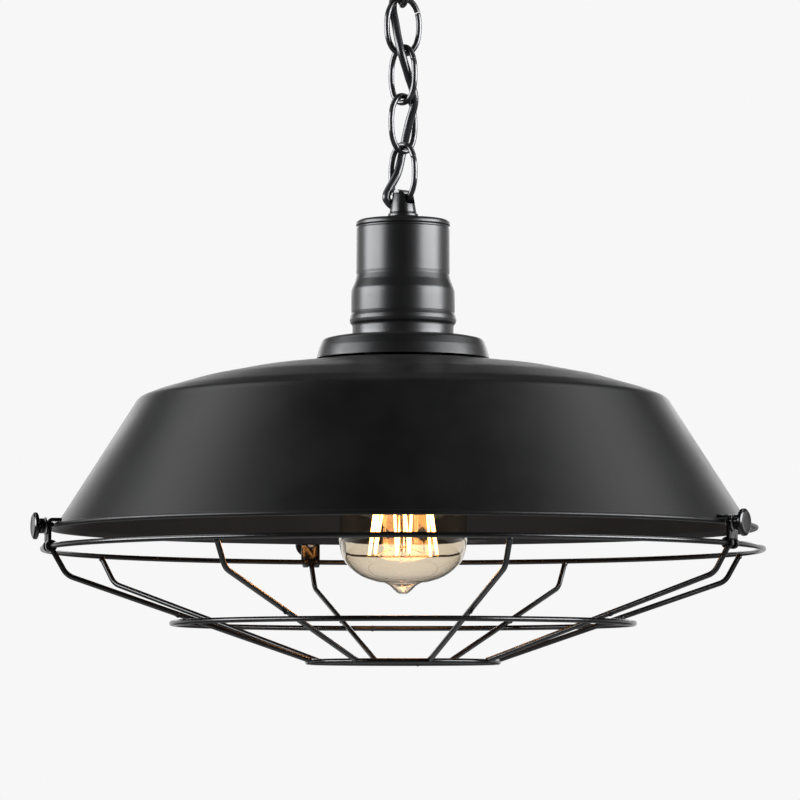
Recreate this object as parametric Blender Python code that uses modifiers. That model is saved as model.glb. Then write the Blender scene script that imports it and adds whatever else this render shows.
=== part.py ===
"""Pendant ceiling light: a spun shade with a wire cage, hung from a canopy by a chain with the flex in it.

Metres, +Z up. The origin is on the ceiling plane, at the middle of the ceiling bracket's top face.
Azimuths are in degrees, from the front (-Y) towards the right (+X).
"""

from math import cos, degrees, pi, radians, sin, sqrt

import bmesh
import bpy
from mathutils import Matrix, Vector

MM = 0.001
GAP = 0.3 * MM

# Driving dimensions
RIM_Z = -327 * MM  # the shade's rim plane below the ceiling
SHEET = 0.8 * MM
SHADE_HOLE_R = 21 * MM
SHOULDER_R = 134.2 * MM
SKIRT_R = 171.4 * MM
ROLL = (174.9 * MM, RIM_Z + 1.5 * MM)  # the middle of the rolled bead
ROLL_R = 1.2 * MM  # the bead's outer radius
NIPPLE_R = 4.0 * MM
NIPPLE_BORE_R = 2.8 * MM
NIPPLE_HOLE_R = NIPPLE_R + GAP
CORD_R = 2.1 * MM

CHAIN_WIRE_R = 1.5 * MM
LINK_BOW = 2.25  # 2 would make each link an ellipse, and more gives it straighter sides
CHAIN_PITCH = 24.6 * MM
LINK_HALF_WIDTH = 8.3 * MM  # to the middle of the wire
LINK_TURNS = [105, 15, -45, 45, -45]  # each link's plane about Z, degrees from +X, top link first
LOWEST_CONTACT_Z = RIM_Z + 167.3 * MM
EYE_R = 1.7 * MM
SLOT_HALF = 3.2 * MM

CAGE_WIRE_R = 1.35 * MM
TOP_RING = (178.4 * MM, RIM_Z - 9 * MM)
MIDDLE_RING = (114.5 * MM, RIM_Z - 45.6 * MM)
BOTTOM_RING = (47.3 * MM, RIM_Z - 64.7 * MM)
SPOKE_BEND = (170 * MM, RIM_Z - 23.2 * MM)
SPOKE_COUNT = 8
FIRST_SPOKE = 16
BRACKET_AZIMUTHS = [286, 61, 196]
HOOK_Z = RIM_Z + 3.0 * MM  # the underside of each bracket's hook, just over the bead
STUD_R = 2.0 * MM
SCREW_Z = HOOK_Z - GAP - STUD_R
PLATE_R = 178.7 * MM  # the bracket plate's inner face
PLATE_T = 1.5 * MM

FINISHES = {  # colour, roughness, metallic
    "black_satin": ((0.012, 0.012, 0.013, 1), 0.38, 0.0),
    "black_wire": ((0.015, 0.015, 0.016, 1), 0.32, 0.0),
    "chain_black": ((0.03, 0.03, 0.032, 1), 0.25, 0.6),
    "black_flex": ((0.01, 0.01, 0.011, 1), 0.3, 0.0),
    "zinc": ((0.55, 0.55, 0.53, 1), 0.35, 1.0),
    "brass": ((0.72, 0.55, 0.28, 1), 0.3, 1.0),
    "phenolic": ((0.02, 0.018, 0.016, 1), 0.45, 0.0),
    "ceramic": ((0.82, 0.8, 0.76, 1), 0.35, 0.0),
    "amber_glass": ((1.0, 0.82, 0.55, 1), 0.03, 0.0),
    "clear_glass": ((0.95, 0.96, 0.94, 1), 0.05, 0.0),
    "filament": ((1.0, 0.55, 0.18, 1), 0.5, 0.0),
}

for old in list(bpy.data.objects):
    bpy.data.objects.remove(old, do_unlink=True)

parts = bpy.data.collections.new("pendant_ceiling_light")
cutters = bpy.data.collections.new("cutters")
for collection in (parts, cutters):
    bpy.context.scene.collection.children.link(collection)


def finish_material(name):
    """The named finish as a Principled material, made once."""
    if name in bpy.data.materials:
        return bpy.data.materials[name]
    colour, roughness, metallic = FINISHES[name]
    material = bpy.data.materials.new(name)
    material.use_nodes = True
    shader = material.node_tree.nodes["Principled BSDF"]
    shader.inputs["Base Color"].default_value = colour
    shader.inputs["Roughness"].default_value = roughness
    shader.inputs["Metallic"].default_value = metallic
    return material


def add_part(name, data, finish, parent=None):
    obj = bpy.data.objects.new(name, data)
    parts.objects.link(obj)
    obj.data.materials.append(finish_material(finish))
    obj.parent = parent
    return obj


def add_cutter(name, data):
    obj = bpy.data.objects.new(name, data)
    cutters.objects.link(obj)
    obj.hide_render = True
    obj.display_type = "WIRE"
    return obj


def add_empty(name, place, parent=None):
    empty = bpy.data.objects.new(name, None)
    empty.empty_display_size = 0.01
    empty.location = place
    empty.parent = parent
    parts.objects.link(empty)
    return empty


def mesh_from(make, name="shape"):
    """A mesh that the given bmesh function fills."""
    bm = bmesh.new()
    make(bm)
    mesh = bpy.data.meshes.new(name)
    bm.to_mesh(mesh)
    bm.free()
    return mesh


def polar(radius, azimuth, z):
    """The point at this radius and azimuth about the lamp's axis."""
    turn = radians(azimuth)
    return Vector((radius * sin(turn), -radius * cos(turn), z))


def arc(centre, radius, start, end, steps):
    """Points (r, z) along an arc; angles in degrees from +r towards +z."""
    turns = [radians(start + (end - start) * step / steps) for step in range(steps + 1)]
    return [(centre[0] + radius * cos(turn), centre[1] + radius * sin(turn)) for turn in turns]


def turned(name, profile, finish, segments=32, parent=None, wall=0.0, closed=False):
    """Profile points (r, z) turned about Z, down the outer side. A wall makes it a shell, grown inwards."""

    def outline(bm):
        points = [bm.verts.new((r, 0, z)) for r, z in profile]
        ends = zip(points, points[1:] + points[:1] if closed else points[1:])
        for first, second in ends:
            bm.edges.new((first, second))

    obj = add_part(name, mesh_from(outline, name), finish, parent)
    spin = obj.modifiers.new("turn", "SCREW")
    spin.steps = segments
    spin.render_steps = segments
    spin.use_merge_vertices = True
    spin.merge_threshold = 1e-5
    spin.use_smooth_shade = True
    if wall:
        shell = obj.modifiers.new("wall", "SOLIDIFY")
        shell.thickness = wall
        shell.offset = -1
        shell.use_even_offset = True
    return obj


def wire_data(points, radius, cyclic=False, sides=2):
    """A round wire along the points, as curve data with filled ends."""
    curve = bpy.data.curves.new("wire", "CURVE")
    curve.dimensions = "3D"
    curve.bevel_depth = radius
    curve.bevel_resolution = sides
    curve.use_fill_caps = not cyclic
    spline = curve.splines.new("POLY")
    spline.points.add(len(points) - 1)
    for point, place in zip(spline.points, points):
        point.co = (*place, 1)
    spline.use_cyclic_u = cyclic
    spline.use_smooth = True
    return curve


def wire(name, points, radius, finish, cyclic=False, sides=2, parent=None):
    return add_part(name, wire_data(points, radius, cyclic, sides), finish, parent)


def mesh_of_curve(curve):
    """The curve's evaluated tube as a closed mesh."""
    holder = bpy.data.objects.new("holder", curve)
    bpy.context.scene.collection.objects.link(holder)
    bpy.context.view_layer.update()
    graph = bpy.context.evaluated_depsgraph_get()
    mesh = bpy.data.meshes.new_from_object(holder.evaluated_get(graph))
    bpy.data.objects.remove(holder, do_unlink=True)
    bm = bmesh.new()
    bm.from_mesh(mesh)
    bmesh.ops.remove_doubles(bm, verts=bm.verts, dist=1e-6)
    bmesh.ops.recalc_face_normals(bm, faces=bm.faces)
    bm.to_mesh(mesh)
    bm.free()
    return mesh


def box_mesh(size, centre):
    def make(bm):
        place = Matrix.Translation(centre) @ Matrix.Diagonal((*size, 1))
        bmesh.ops.create_cube(bm, size=1, matrix=place)

    return mesh_from(make)


def prism_mesh(radius, depth, sides, place):
    """A prism of so many sides about its own Z axis, set at a place."""

    def make(bm):
        bmesh.ops.create_cone(
            bm, cap_ends=True, segments=sides, radius1=radius, radius2=radius, depth=depth, matrix=place
        )

    return mesh_from(make)


def rod_mesh(radius, start, end, segments=16):
    """A cylinder between two points."""
    way = Vector(end) - Vector(start)
    turn = way.to_track_quat("Z", "Y").to_matrix().to_4x4()
    place = Matrix.Translation((Vector(start) + Vector(end)) / 2) @ turn
    return prism_mesh(radius, way.length, segments, place)


def boolean(obj, mesh, operation, name):
    """Cuts or joins a helper mesh, in world space unless the object has a parent that moves it."""
    helper = add_cutter(name, mesh)
    helper.parent = obj.parent
    helper.matrix_local = obj.matrix_local
    change = obj.modifiers.new(name, "BOOLEAN")
    change.operation = operation
    change.object = helper
    change.solver = "EXACT"


def ring_points(radius, z, count, offset=0.0):
    return [polar(radius, offset + 360 * step / count, z) for step in range(count)]


def smooth_route(points, per_span):
    """A Catmull-Rom curve through the points."""
    padded = [2 * points[0] - points[1], *points, 2 * points[-1] - points[-2]]
    route = []
    for before, start, end, after in zip(padded, padded[1:], padded[2:], padded[3:]):
        for step in range(per_span):
            t = step / per_span
            bend = (end - before) * t
            bend += (2 * before - 5 * start + 4 * end - after) * t**2
            bend += (3 * start - before - 3 * end + after) * t**3
            route.append(start + bend / 2)
    return [*route, points[-1]]


# The places along the axis where one link bears on the next, top first
contacts = [LOWEST_CONTACT_Z + CHAIN_PITCH * step for step in range(5, -1, -1)]
CANOPY_Z = contacts[0] + 11.4 * MM  # the canopy's underside

# Ceiling end: bracket, nipple, nut, canopy, loop and terminal block
BRACKET = (64 * MM, 20 * MM, 20 * MM)
BRACKET_T = 1.8 * MM
CEILING_SCREW_X = 22 * MM
CEILING_SCREW_HOLE_R = 2.25 * MM
NUT_ACROSS = 13 * MM
bracket_bar_z = -BRACKET[2] + BRACKET_T / 2

bracket = add_part("ceiling_bracket", box_mesh(BRACKET, (0, 0, -BRACKET[2] / 2)), "zinc")
window = (BRACKET[0] - 2 * BRACKET_T, 2 * BRACKET[1], BRACKET[2] - 2 * BRACKET_T)
boolean(bracket, box_mesh(window, (0, 0, -BRACKET[2] / 2)), "DIFFERENCE", "bracket_window")
nipple_way = rod_mesh(NIPPLE_HOLE_R, (0, 0, bracket_bar_z - 3 * MM), (0, 0, bracket_bar_z + 3 * MM))
boolean(bracket, nipple_way, "DIFFERENCE", "bracket_nipple_hole")
for side in (-1, 1):
    screw_x = side * CEILING_SCREW_X
    way = rod_mesh(CEILING_SCREW_HOLE_R, (screw_x, 0, -5 * MM), (screw_x, 0, 5 * MM), 12)
    boolean(bracket, way, "DIFFERENCE", f"ceiling_screw_hole_{side + 1}")


def tube_profile(inner, outer, low, high):
    """A closed outline that turns into a tube."""
    return [(inner, high), (outer, high), (outer, low), (inner, low)]


def nut(name, low, height, across, finish="zinc"):
    """A hexagon nut on a nipple, from low upwards."""
    place = Matrix.Translation((0, 0, low + height / 2))
    obj = add_part(name, prism_mesh(across / 2 / cos(pi / 6), height, 6, place), finish)
    way = rod_mesh(NIPPLE_HOLE_R, (0, 0, low - height), (0, 0, low + 2 * height))
    boolean(obj, way, "DIFFERENCE", name + "_bore")
    return obj


nipple_top = bracket_bar_z + 4.8 * MM
nipple_bottom = CANOPY_Z - 2.2 * MM
bracket_nipple_profile = tube_profile(NIPPLE_BORE_R, NIPPLE_R, nipple_bottom, nipple_top)
turned("bracket_nipple", bracket_nipple_profile, "zinc", 16, closed=True)
nut("bracket_nut", bracket_bar_z + BRACKET_T / 2 + GAP, 3 * MM, NUT_ACROSS)

CANOPY_R = 55 * MM
canopy_profile = [
    (NIPPLE_HOLE_R, CANOPY_Z),
    (34 * MM, CANOPY_Z),
    (43 * MM, CANOPY_Z + 1.6 * MM),
    (50 * MM, CANOPY_Z + 6 * MM),
    (53.6 * MM, CANOPY_Z + 13 * MM),
    (CANOPY_R, -0.5 * MM),
]
turned("canopy", canopy_profile[::-1], "black_satin", 32, wall=SHEET)

TERMINAL = (26 * MM, 12 * MM, 11 * MM)
TERMINAL_CENTRE = Vector((0, 22 * MM, -9 * MM))
WELL_R = 1.6 * MM
WELL_DEPTH = 4 * MM
WELL_SPACING = 8 * MM

terminal_block = add_part("terminal_block", box_mesh(TERMINAL, TERMINAL_CENTRE), "phenolic")
for side in (-1, 0, 1):
    mouth = TERMINAL_CENTRE + Vector((side * WELL_SPACING, 0, -TERMINAL[2] / 2))
    well = rod_mesh(WELL_R, mouth - Vector((0, 0, 2 * MM)), mouth + Vector((0, 0, WELL_DEPTH)), 8)
    boolean(terminal_block, well, "DIFFERENCE", f"terminal_screw_well_{side + 1}")


def loop_piece(name, base_z, contact_z, turn, up, cord_way):
    """A turned bell with a slot for the link and a bar across the slot that bears it.

    It stands on base_z and points up or down; its slot runs square to the turn, the bar's direction.
    """
    way = 1 if up else -1
    height = abs(contact_z - base_z)
    profile = [
        (0, height + EYE_R * 2),
        (2.6 * MM, height + EYE_R * 1.95),
        (4.6 * MM, height + EYE_R * 1.5),
        (5.7 * MM, height + EYE_R * 0.4),
        (6.0 * MM, height - 3 * MM),
        (6.9 * MM, 3.6 * MM),
        (6.3 * MM, 3.2 * MM),
        (7.6 * MM, 2.8 * MM),
        (7.8 * MM, 1.6 * MM),
        (9.3 * MM, 0.2 * MM),
        (9.3 * MM, 0),
        (0, 0),
    ]
    obj = turned(name, profile, "black_satin", 24)
    obj.location.z = base_z
    if not up:
        obj.rotation_euler.x = pi
    bpy.context.view_layer.update()
    along = Vector((cos(radians(turn)), sin(radians(turn)), 0))
    slot_low = height - 2 * CHAIN_WIRE_R - 0.9 * MM
    slot_size = (30 * MM, 2 * SLOT_HALF, 20 * MM)
    slot = box_mesh(slot_size, (0, 0, slot_low + slot_size[2] / 2))
    facing = Matrix.Rotation(radians(way * turn) + pi / 2, 4, "Z")
    slot.transform(facing)
    boolean(obj, slot, "DIFFERENCE", name + "_slot")
    bar_local = Vector((along.x, way * along.y, 0)) * 4.8 * MM
    bar_at = Vector((0, 0, height + GAP / 2 + EYE_R))
    bar = rod_mesh(EYE_R, bar_at - bar_local, bar_at + bar_local, 12)
    boolean(obj, bar, "UNION", name + "_bar")
    thread = rod_mesh(NIPPLE_HOLE_R, (0, 0, -2 * MM), (0, 0, 3.4 * MM))
    boolean(obj, thread, "DIFFERENCE", name + "_thread")
    boolean_world(obj, cord_way, name + "_cord_way")
    return obj


def boolean_world(obj, mesh, name):
    """Cuts a helper whose mesh is in world space."""
    helper = add_cutter(name, mesh)
    change = obj.modifiers.new(name, "BOOLEAN")
    change.operation = "DIFFERENCE"
    change.object = helper
    change.solver = "EXACT"


# The flex: from the terminal block, down the nipple, a quarter turn round the chain at each link, into the
# lamp holder
CORD_ANGLES = [60, 150, 255, 360, 450, 540]  # where it passes each contact, degrees from +X, top first
CORD_OUT = [6.6 * MM, 5.8 * MM, 4.9 * MM, 5.8 * MM, 5.8 * MM, 7.6 * MM]
CORD_IN = 3.9 * MM  # how far out it crosses each link's plane


def around(radius, angle, z):
    return Vector((radius * cos(radians(angle)), radius * sin(radians(angle)), z))


first_out = CORD_ANGLES[0]
last_out = CORD_ANGLES[-1]
cord_points = [
    Vector((0, 15.2 * MM, -9.0 * MM)),
    Vector((0, 12 * MM, -8.0 * MM)),
    Vector((0, 7 * MM, -7.0 * MM)),
    Vector((0, 2.4 * MM, -8.6 * MM)),
    Vector((0, 0.3 * MM, -12.6 * MM)),
    Vector((0, 0, -17 * MM)),
    Vector((0, 0, CANOPY_Z + 2 * MM)),
    around(0, first_out, CANOPY_Z - 1.8 * MM),
    around(3.0 * MM, first_out, CANOPY_Z - 5.6 * MM),
    around(6.8 * MM, first_out, CANOPY_Z - 8.4 * MM),
    around(8.2 * MM, first_out, contacts[0] - 1.2 * MM),
]
for place in range(5):
    middle = (CORD_ANGLES[place] + CORD_ANGLES[place + 1]) / 2
    if place:
        cord_points.append(around(CORD_OUT[place], CORD_ANGLES[place], contacts[place]))
    cord_points.append(around(CORD_IN, middle, (contacts[place] + contacts[place + 1]) / 2))
cord_points += [
    around(8.1 * MM, last_out, contacts[5] + 1.4 * MM),
    around(7.2 * MM, last_out, contacts[5] - 2.6 * MM),
    around(3.4 * MM, last_out, contacts[5] - 6.0 * MM),
    around(0.1 * MM, last_out, contacts[5] - 10.4 * MM),
    Vector((0, 0, RIM_Z + 153 * MM)),
    Vector((0, 0, RIM_Z + 140 * MM)),
    Vector((0, 0, RIM_Z + 130 * MM)),
    Vector((0, 0, RIM_Z + 121 * MM)),
]
cord_route = smooth_route(cord_points, 2)
wire("power_cord", cord_route, CORD_R, "black_flex")


def cord_channel(top, bottom):
    """The room the flex needs through a piece between two heights."""
    inside = [point for point in cord_route if bottom < point.z < top]
    return mesh_of_curve(wire_data(inside, CORD_R + 2 * GAP))


HANG_BASE_Z = RIM_Z + 155.8 * MM
canopy_channel = cord_channel(CANOPY_Z + 2.5 * MM, contacts[0] - 8 * MM)
loop_piece("canopy_loop", CANOPY_Z - GAP, contacts[0], LINK_TURNS[0] - 90, False, canopy_channel)
hang_channel = cord_channel(contacts[5] + 8 * MM, HANG_BASE_Z - 2 * MM)
loop_piece("hang_loop", HANG_BASE_Z, contacts[5], LINK_TURNS[4] + 90, True, hang_channel)


def link_points(steps):
    """A bowed oval link in the XZ plane about the origin."""
    half_height = CHAIN_PITCH / 2 + GAP / 2 + CHAIN_WIRE_R
    points = []
    for step in range(steps):
        turn = 2 * pi * (step + 0.5) / steps
        out, up = (abs(part) ** (2 / LINK_BOW) * (1 if part > 0 else -1) for part in (cos(turn), sin(turn)))
        points.append(Vector((LINK_HALF_WIDTH * out, 0, half_height * up)))
    return points


for number, turn in enumerate(LINK_TURNS, 1):
    pivot = add_empty(f"link_{number}_pivot", (0, 0, contacts[number - 1]))
    name = f"chain_link_{number}"
    link = wire(name, link_points(20), CHAIN_WIRE_R, "chain_black", cyclic=True, parent=pivot)
    link.location.z = -CHAIN_PITCH / 2
    link.rotation_euler.z = radians(turn)


# Lamp head: nipple, nut, cup, collar, shade and the ring that clamps them to the holder
def rim(r, z):
    """A profile point in millimetres, its height counted from the rim plane."""
    return r * MM, RIM_Z + z * MM


hang_nipple_profile = tube_profile(NIPPLE_BORE_R, NIPPLE_R, RIM_Z + 137.5 * MM, RIM_Z + 157.4 * MM)
turned("hang_nipple", hang_nipple_profile, "zinc", 16, closed=True)
nut("cup_nut", RIM_Z + 150.2 * MM, 3.6 * MM, NUT_ACROSS)

CUP_WALL = 1.2 * MM
cup_profile = [
    (NIPPLE_HOLE_R, RIM_Z + 155.5 * MM),
    rim(21.6, 155.5),
    rim(23.2, 154.7),
    rim(23.5, 153.2),
    rim(22.9, 152.2),
    rim(23.3, 151.0),
    rim(23.3, 129.0),
    rim(23.9, 125.3),
    rim(25.3, 121.5),
    rim(25.8, 117.5),
    rim(25.8, 109.0),
    rim(26.5, 106.6),
    rim(26.5, 104.4),
    rim(25.2, 102.6),
    rim(25.2, 97.3),
]
turned("socket_cup", cup_profile, "black_satin", 24, wall=CUP_WALL)

collar_profile = [
    rim(21.5, 97.0),
    rim(35.5, 96.8),
    rim(39.2, 95.8),
    rim(41.2, 93.6),
    rim(41.8, 91.0),
    rim(43.1, 86.2),
]
turned("collar", collar_profile, "black_satin", 32, wall=SHEET)

dome = [(43, 85.0), (74, 81.2), (100, 76.0), (121, 69.9), (130.4, 65.8)]
shade_profile = [
    (SHADE_HOLE_R, RIM_Z + 85.6 * MM),
    *(rim(r, z) for r, z in dome),
    (SHOULDER_R, RIM_Z + 61.5 * MM),
    (SKIRT_R, RIM_Z + 3.2 * MM),
    rim(172.8, 1.4),
    *arc(ROLL, ROLL_R - SHEET, -90, 100, 4),
]
turned("shade", shade_profile, "black_satin", 56, wall=SHEET)

ring_profile = tube_profile(19.9 * MM, 26 * MM, RIM_Z + 79.6 * MM, RIM_Z + 84.3 * MM)
turned("shade_ring", ring_profile, "phenolic", 24, closed=True)

HOLDER_WALL = 2.2 * MM
holder_cap_profile = [
    (NIPPLE_HOLE_R, RIM_Z + 141 * MM),
    rim(8, 141),
    rim(8, 131),
    rim(16, 127.5),
    rim(19.4, 122),
    rim(19.4, 119.5),
]
turned("holder_cap", holder_cap_profile, "phenolic", 24, wall=HOLDER_WALL)
turned("holder_body", [rim(19.4, 119.2), rim(19.4, 80.5)], "phenolic", 24, wall=HOLDER_WALL)
insert_profile = [rim(0, 118), rim(16, 118), rim(16, 113.6), rim(0, 113.6)]
turned("terminal_insert", insert_profile, "ceramic", 24)
shell_profile = tube_profile(14.0 * MM, 14.7 * MM, RIM_Z + 84 * MM, RIM_Z + 113.2 * MM)
turned("screw_shell", shell_profile, "brass", 24, closed=True)
contact_profile = [rim(0, 113.3), rim(5, 113.3), rim(5.6, 112.6), rim(4.6, 112.2), rim(0, 112.2)]
turned("centre_contact", contact_profile, "brass", 16)

# Bulb: it turns and travels along the lamp's axis
GLASS_WALL = 0.8 * MM
glass_neck = [(12.2, 92), (12.4, 84), (13.4, 78), (17, 65), (22.6, 48), (28, 30), (31.2, 15), (32, 2)]
glass_globe = [(31.8, -5), (29.7, -13.6), (25, -19.2), (19.4, -22.8), (13, -24.9), (9, -25.6)]
glass_pip = [(6.4, -27.0), (4.4, -29.0), (2.2, -30.7), (0, -31)]
glass_profile = [rim(r, z) for r, z in glass_neck + glass_globe + glass_pip]
turned("bulb_glass", glass_profile, "amber_glass", 24, wall=GLASS_WALL)

CAP_WALL = 0.25 * MM
cap_profile = [rim(9, 109), rim(11.6, 107.6), rim(13.3, 105), rim(13.3, 84.5)]
turned("bulb_cap", cap_profile, "brass", 24, wall=CAP_WALL)
insulator_profile = [rim(0, 110.6), rim(5, 110.6), rim(8.6, 109), rim(8.6, 107.4), rim(0, 107.4)]
turned("bulb_insulator", insulator_profile, "phenolic", 16)
tip_profile = [rim(0, 111.8), rim(3.4, 111.6), rim(4.4, 110.9), rim(0, 110.9)]
turned("bulb_tip_contact", tip_profile, "brass", 16)
stem_sides = [(0, 91), (10.6, 91), (10.6, 88), (4.4, 78), (3.6, 58), (2.2, 52), (2.2, -8), (0, -10)]
turned("bulb_stem", [rim(r, z) for r, z in stem_sides], "clear_glass", 16)

FILAMENT_RUNS = 12
STRAND_R = 0.35 * MM
STRAND_TURN = 2.0 * MM
FILAMENT_START = 145  # so that a foot hook stands a little right of the front
FILAMENT_R = (9.5 * MM, 18.0 * MM)
FILAMENT_Z = (RIM_Z + 50 * MM, RIM_Z - 12 * MM)


def filament_points():
    """A zigzag from hook to hook, open at the back, with a short turn over each."""
    points = []
    for hook in range(FILAMENT_RUNS):
        azimuth = FILAMENT_START + 360 * (hook + 0.5) / FILAMENT_RUNS
        end = hook % 2
        half_turn = degrees(STRAND_TURN / 2 / FILAMENT_R[end])
        for side in (-1, 1):
            points.append(polar(FILAMENT_R[end], azimuth + side * half_turn, FILAMENT_Z[end]))
    return points


wire("filament", filament_points(), STRAND_R, "filament", sides=0)

# Cage: three rings, eight spokes, three brackets with their screws
cage_pivot = add_empty("cage_pivot", (0, 0, RIM_Z))
for name, (radius, z), count in (
    ("cage_top_ring", TOP_RING, 56),
    ("cage_middle_ring", MIDDLE_RING, 40),
    ("cage_bottom_ring", BOTTOM_RING, 24),
):
    points = ring_points(radius, z - RIM_Z, count, FIRST_SPOKE)
    wire(name, points, CAGE_WIRE_R, "black_wire", cyclic=True, sides=1, parent=cage_pivot)


def bend_points(start, corner, end, radius, steps):
    """A path with its corner rounded to a radius, in (r, z)."""
    start, corner, end = Vector(start), Vector(corner), Vector(end)
    back = (start - corner).normalized()
    on = (end - corner).normalized()
    half = back.angle(on) / 2
    centre = corner + (back + on).normalized() * radius / sin(half)
    reach = radius / (sin(half) / cos(half))
    first = corner + back * reach - centre
    last = corner + on * reach - centre
    sweep = first.angle(last) * (1 if first.x * last.y > first.y * last.x else -1)
    arm = [Matrix.Rotation(sweep * step / steps, 2) @ first for step in range(steps + 1)]
    return [start, *(centre + turned_arm for turned_arm in arm), end]


spoke_start = (TOP_RING[0] - 0.8 * MM, TOP_RING[1] - 1.75 * MM)
spoke_end = (BOTTOM_RING[0] + 1.8 * MM, BOTTOM_RING[1] + 0.55 * MM)
spoke_route = bend_points(spoke_start, SPOKE_BEND, spoke_end, 9 * MM, 4)
for number in range(SPOKE_COUNT):
    azimuth = FIRST_SPOKE + 360 * number / SPOKE_COUNT
    points = [polar(r, azimuth, z - RIM_Z) for r, z in spoke_route]
    wire(f"cage_spoke_{number + 1}", points, CAGE_WIRE_R, "black_wire", sides=1, parent=cage_pivot)

# Each bracket is modelled along +X from the lamp's axis, then turned to its place. Its top is bent inwards
# as a hook that rests on the shade's bead, and its screw bears on the bead from outside.
PLATE_WIDTH = 10 * MM
HOOK_INNER_R = 173.6 * MM
HUG = (5.8 * MM, 8 * MM, 5.8 * MM)
SCREW_TIP_R = ROLL[0] + ROLL_R + GAP
WASHER_R = PLATE_R + PLATE_T + GAP
KNOB_R = WASHER_R + 0.8 * MM + GAP


def radial_profile(points):
    """Turned pieces whose axis is the screw's: (radius, place along it), outer end first."""
    return [(radius * MM, along) for radius, along in points]


for number, azimuth in enumerate(BRACKET_AZIMUTHS, 1):
    seat = add_empty(f"bracket_{number}_seat", (0, 0, 0))
    seat.rotation_euler.z = radians(azimuth - 90)
    ring_z = TOP_RING[1]
    plate_low = ring_z + 1.2 * MM
    plate_top = HOOK_Z + PLATE_T
    plate_size = (PLATE_T, PLATE_WIDTH, plate_top - plate_low)
    plate_mesh = box_mesh(plate_size, (PLATE_R + PLATE_T / 2, 0, (plate_low + plate_top) / 2))
    plate = add_part(f"rim_bracket_{number}", plate_mesh, "black_wire", seat)
    hook_reach = PLATE_R + PLATE_T - HOOK_INNER_R
    hook_middle = (HOOK_INNER_R + hook_reach / 2, 0, HOOK_Z + PLATE_T / 2)
    hook = box_mesh((hook_reach, PLATE_WIDTH, PLATE_T), hook_middle)
    boolean(plate, hook, "UNION", f"bracket_{number}_hook")
    boolean(plate, box_mesh(HUG, (TOP_RING[0], 0, ring_z)), "UNION", f"bracket_{number}_hug")
    spoke_room = mesh_of_curve(wire_data([Vector((r, 0, z)) for r, z in spoke_route], CAGE_WIRE_R + GAP))
    boolean(plate, spoke_room, "DIFFERENCE", f"bracket_{number}_spoke_way")
    ring_ends = [(TOP_RING[0], y, ring_z) for y in (-9 * MM, 9 * MM)]
    ring_way = rod_mesh(CAGE_WIRE_R + GAP + 0.1 * MM, *ring_ends)
    boolean(plate, ring_way, "DIFFERENCE", f"bracket_{number}_ring_way")
    screw_way = rod_mesh(STUD_R + GAP, (PLATE_R - 5 * MM, 0, SCREW_Z), (PLATE_R + 5 * MM, 0, SCREW_Z))
    boolean(plate, screw_way, "DIFFERENCE", f"bracket_{number}_screw_way")
    axis = add_empty(f"screw_{number}_axis", (0, 0, SCREW_Z), seat)
    axis.rotation_euler.y = pi / 2
    washer = tube_profile(STUD_R + GAP, 4.2 * MM, WASHER_R, WASHER_R + 0.8 * MM)
    turned(f"screw_washer_{number}", washer, "zinc", 16, axis, closed=True)
    stud_end = KNOB_R + 3 * MM
    stud_start = SCREW_TIP_R + 0.8 * MM
    stud_sides = [(0, stud_end), (2, stud_end), (2, stud_start), (1.3, SCREW_TIP_R), (0, SCREW_TIP_R)]
    stud = radial_profile(stud_sides)
    turned(f"screw_stud_{number}", stud, "zinc", 12, axis)
    knob = radial_profile(
        [
            (0, KNOB_R + 5.6 * MM),
            (5.2, KNOB_R + 5.6 * MM),
            (6.6, KNOB_R + 4.8 * MM),
            (6.6, KNOB_R + 3.4 * MM),
            (5.8, KNOB_R + 3.0 * MM),
            (3.7, KNOB_R + 2.8 * MM),
            (3.7, KNOB_R),
            (2.3, KNOB_R),
            (2.3, stud_end + GAP),
            (0, stud_end + GAP),
        ]
    )
    turned(f"thumb_knob_{number}", knob, "black_wire", 16, axis)

for obj in parts.objects:
    if obj.type == "MESH":
        for polygon in obj.data.polygons:
            polygon.use_smooth = True
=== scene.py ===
"""The finished look of a pendant ceiling light: a spun shade, a wire cage and a lit pear bulb, on a chain.

Metres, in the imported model's frame: the origin is on the ceiling plane and +Z is up. Azimuths are in degrees
from the front (-Y) towards the right (+X).
"""

from math import cos, hypot, pi, radians, sin, tan

import bmesh
import bpy
from mathutils import Matrix, Vector, noise


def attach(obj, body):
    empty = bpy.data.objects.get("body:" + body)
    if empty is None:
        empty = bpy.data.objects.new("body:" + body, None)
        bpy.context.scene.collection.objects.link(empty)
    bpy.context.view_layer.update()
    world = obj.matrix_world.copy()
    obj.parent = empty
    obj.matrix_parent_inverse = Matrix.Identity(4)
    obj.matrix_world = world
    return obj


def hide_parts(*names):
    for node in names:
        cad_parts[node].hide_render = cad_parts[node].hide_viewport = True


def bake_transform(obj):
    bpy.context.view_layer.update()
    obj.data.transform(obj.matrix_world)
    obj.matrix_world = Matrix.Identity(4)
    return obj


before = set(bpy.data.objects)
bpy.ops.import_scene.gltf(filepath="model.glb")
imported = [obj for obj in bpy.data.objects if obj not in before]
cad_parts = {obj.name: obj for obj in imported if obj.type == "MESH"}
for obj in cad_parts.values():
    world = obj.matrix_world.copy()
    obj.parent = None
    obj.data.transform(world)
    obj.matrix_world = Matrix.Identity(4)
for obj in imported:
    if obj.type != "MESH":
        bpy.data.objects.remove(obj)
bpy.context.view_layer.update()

# ----------------------------------------
# Camera: a long lens a little below the shade's rim, looking slightly up, so that the rim and the cage's
# rings show as thin ovals and the bulb shows under the shade.
MM = 0.001
RIM_Z = -327 * MM  # the shade's rim plane
CAMERA_PLACE = (-1.5 * MM, -2.2, RIM_Z - 94.4 * MM)
CAMERA_PITCH = 4.16  # degrees up
LENS = 199.35

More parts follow.
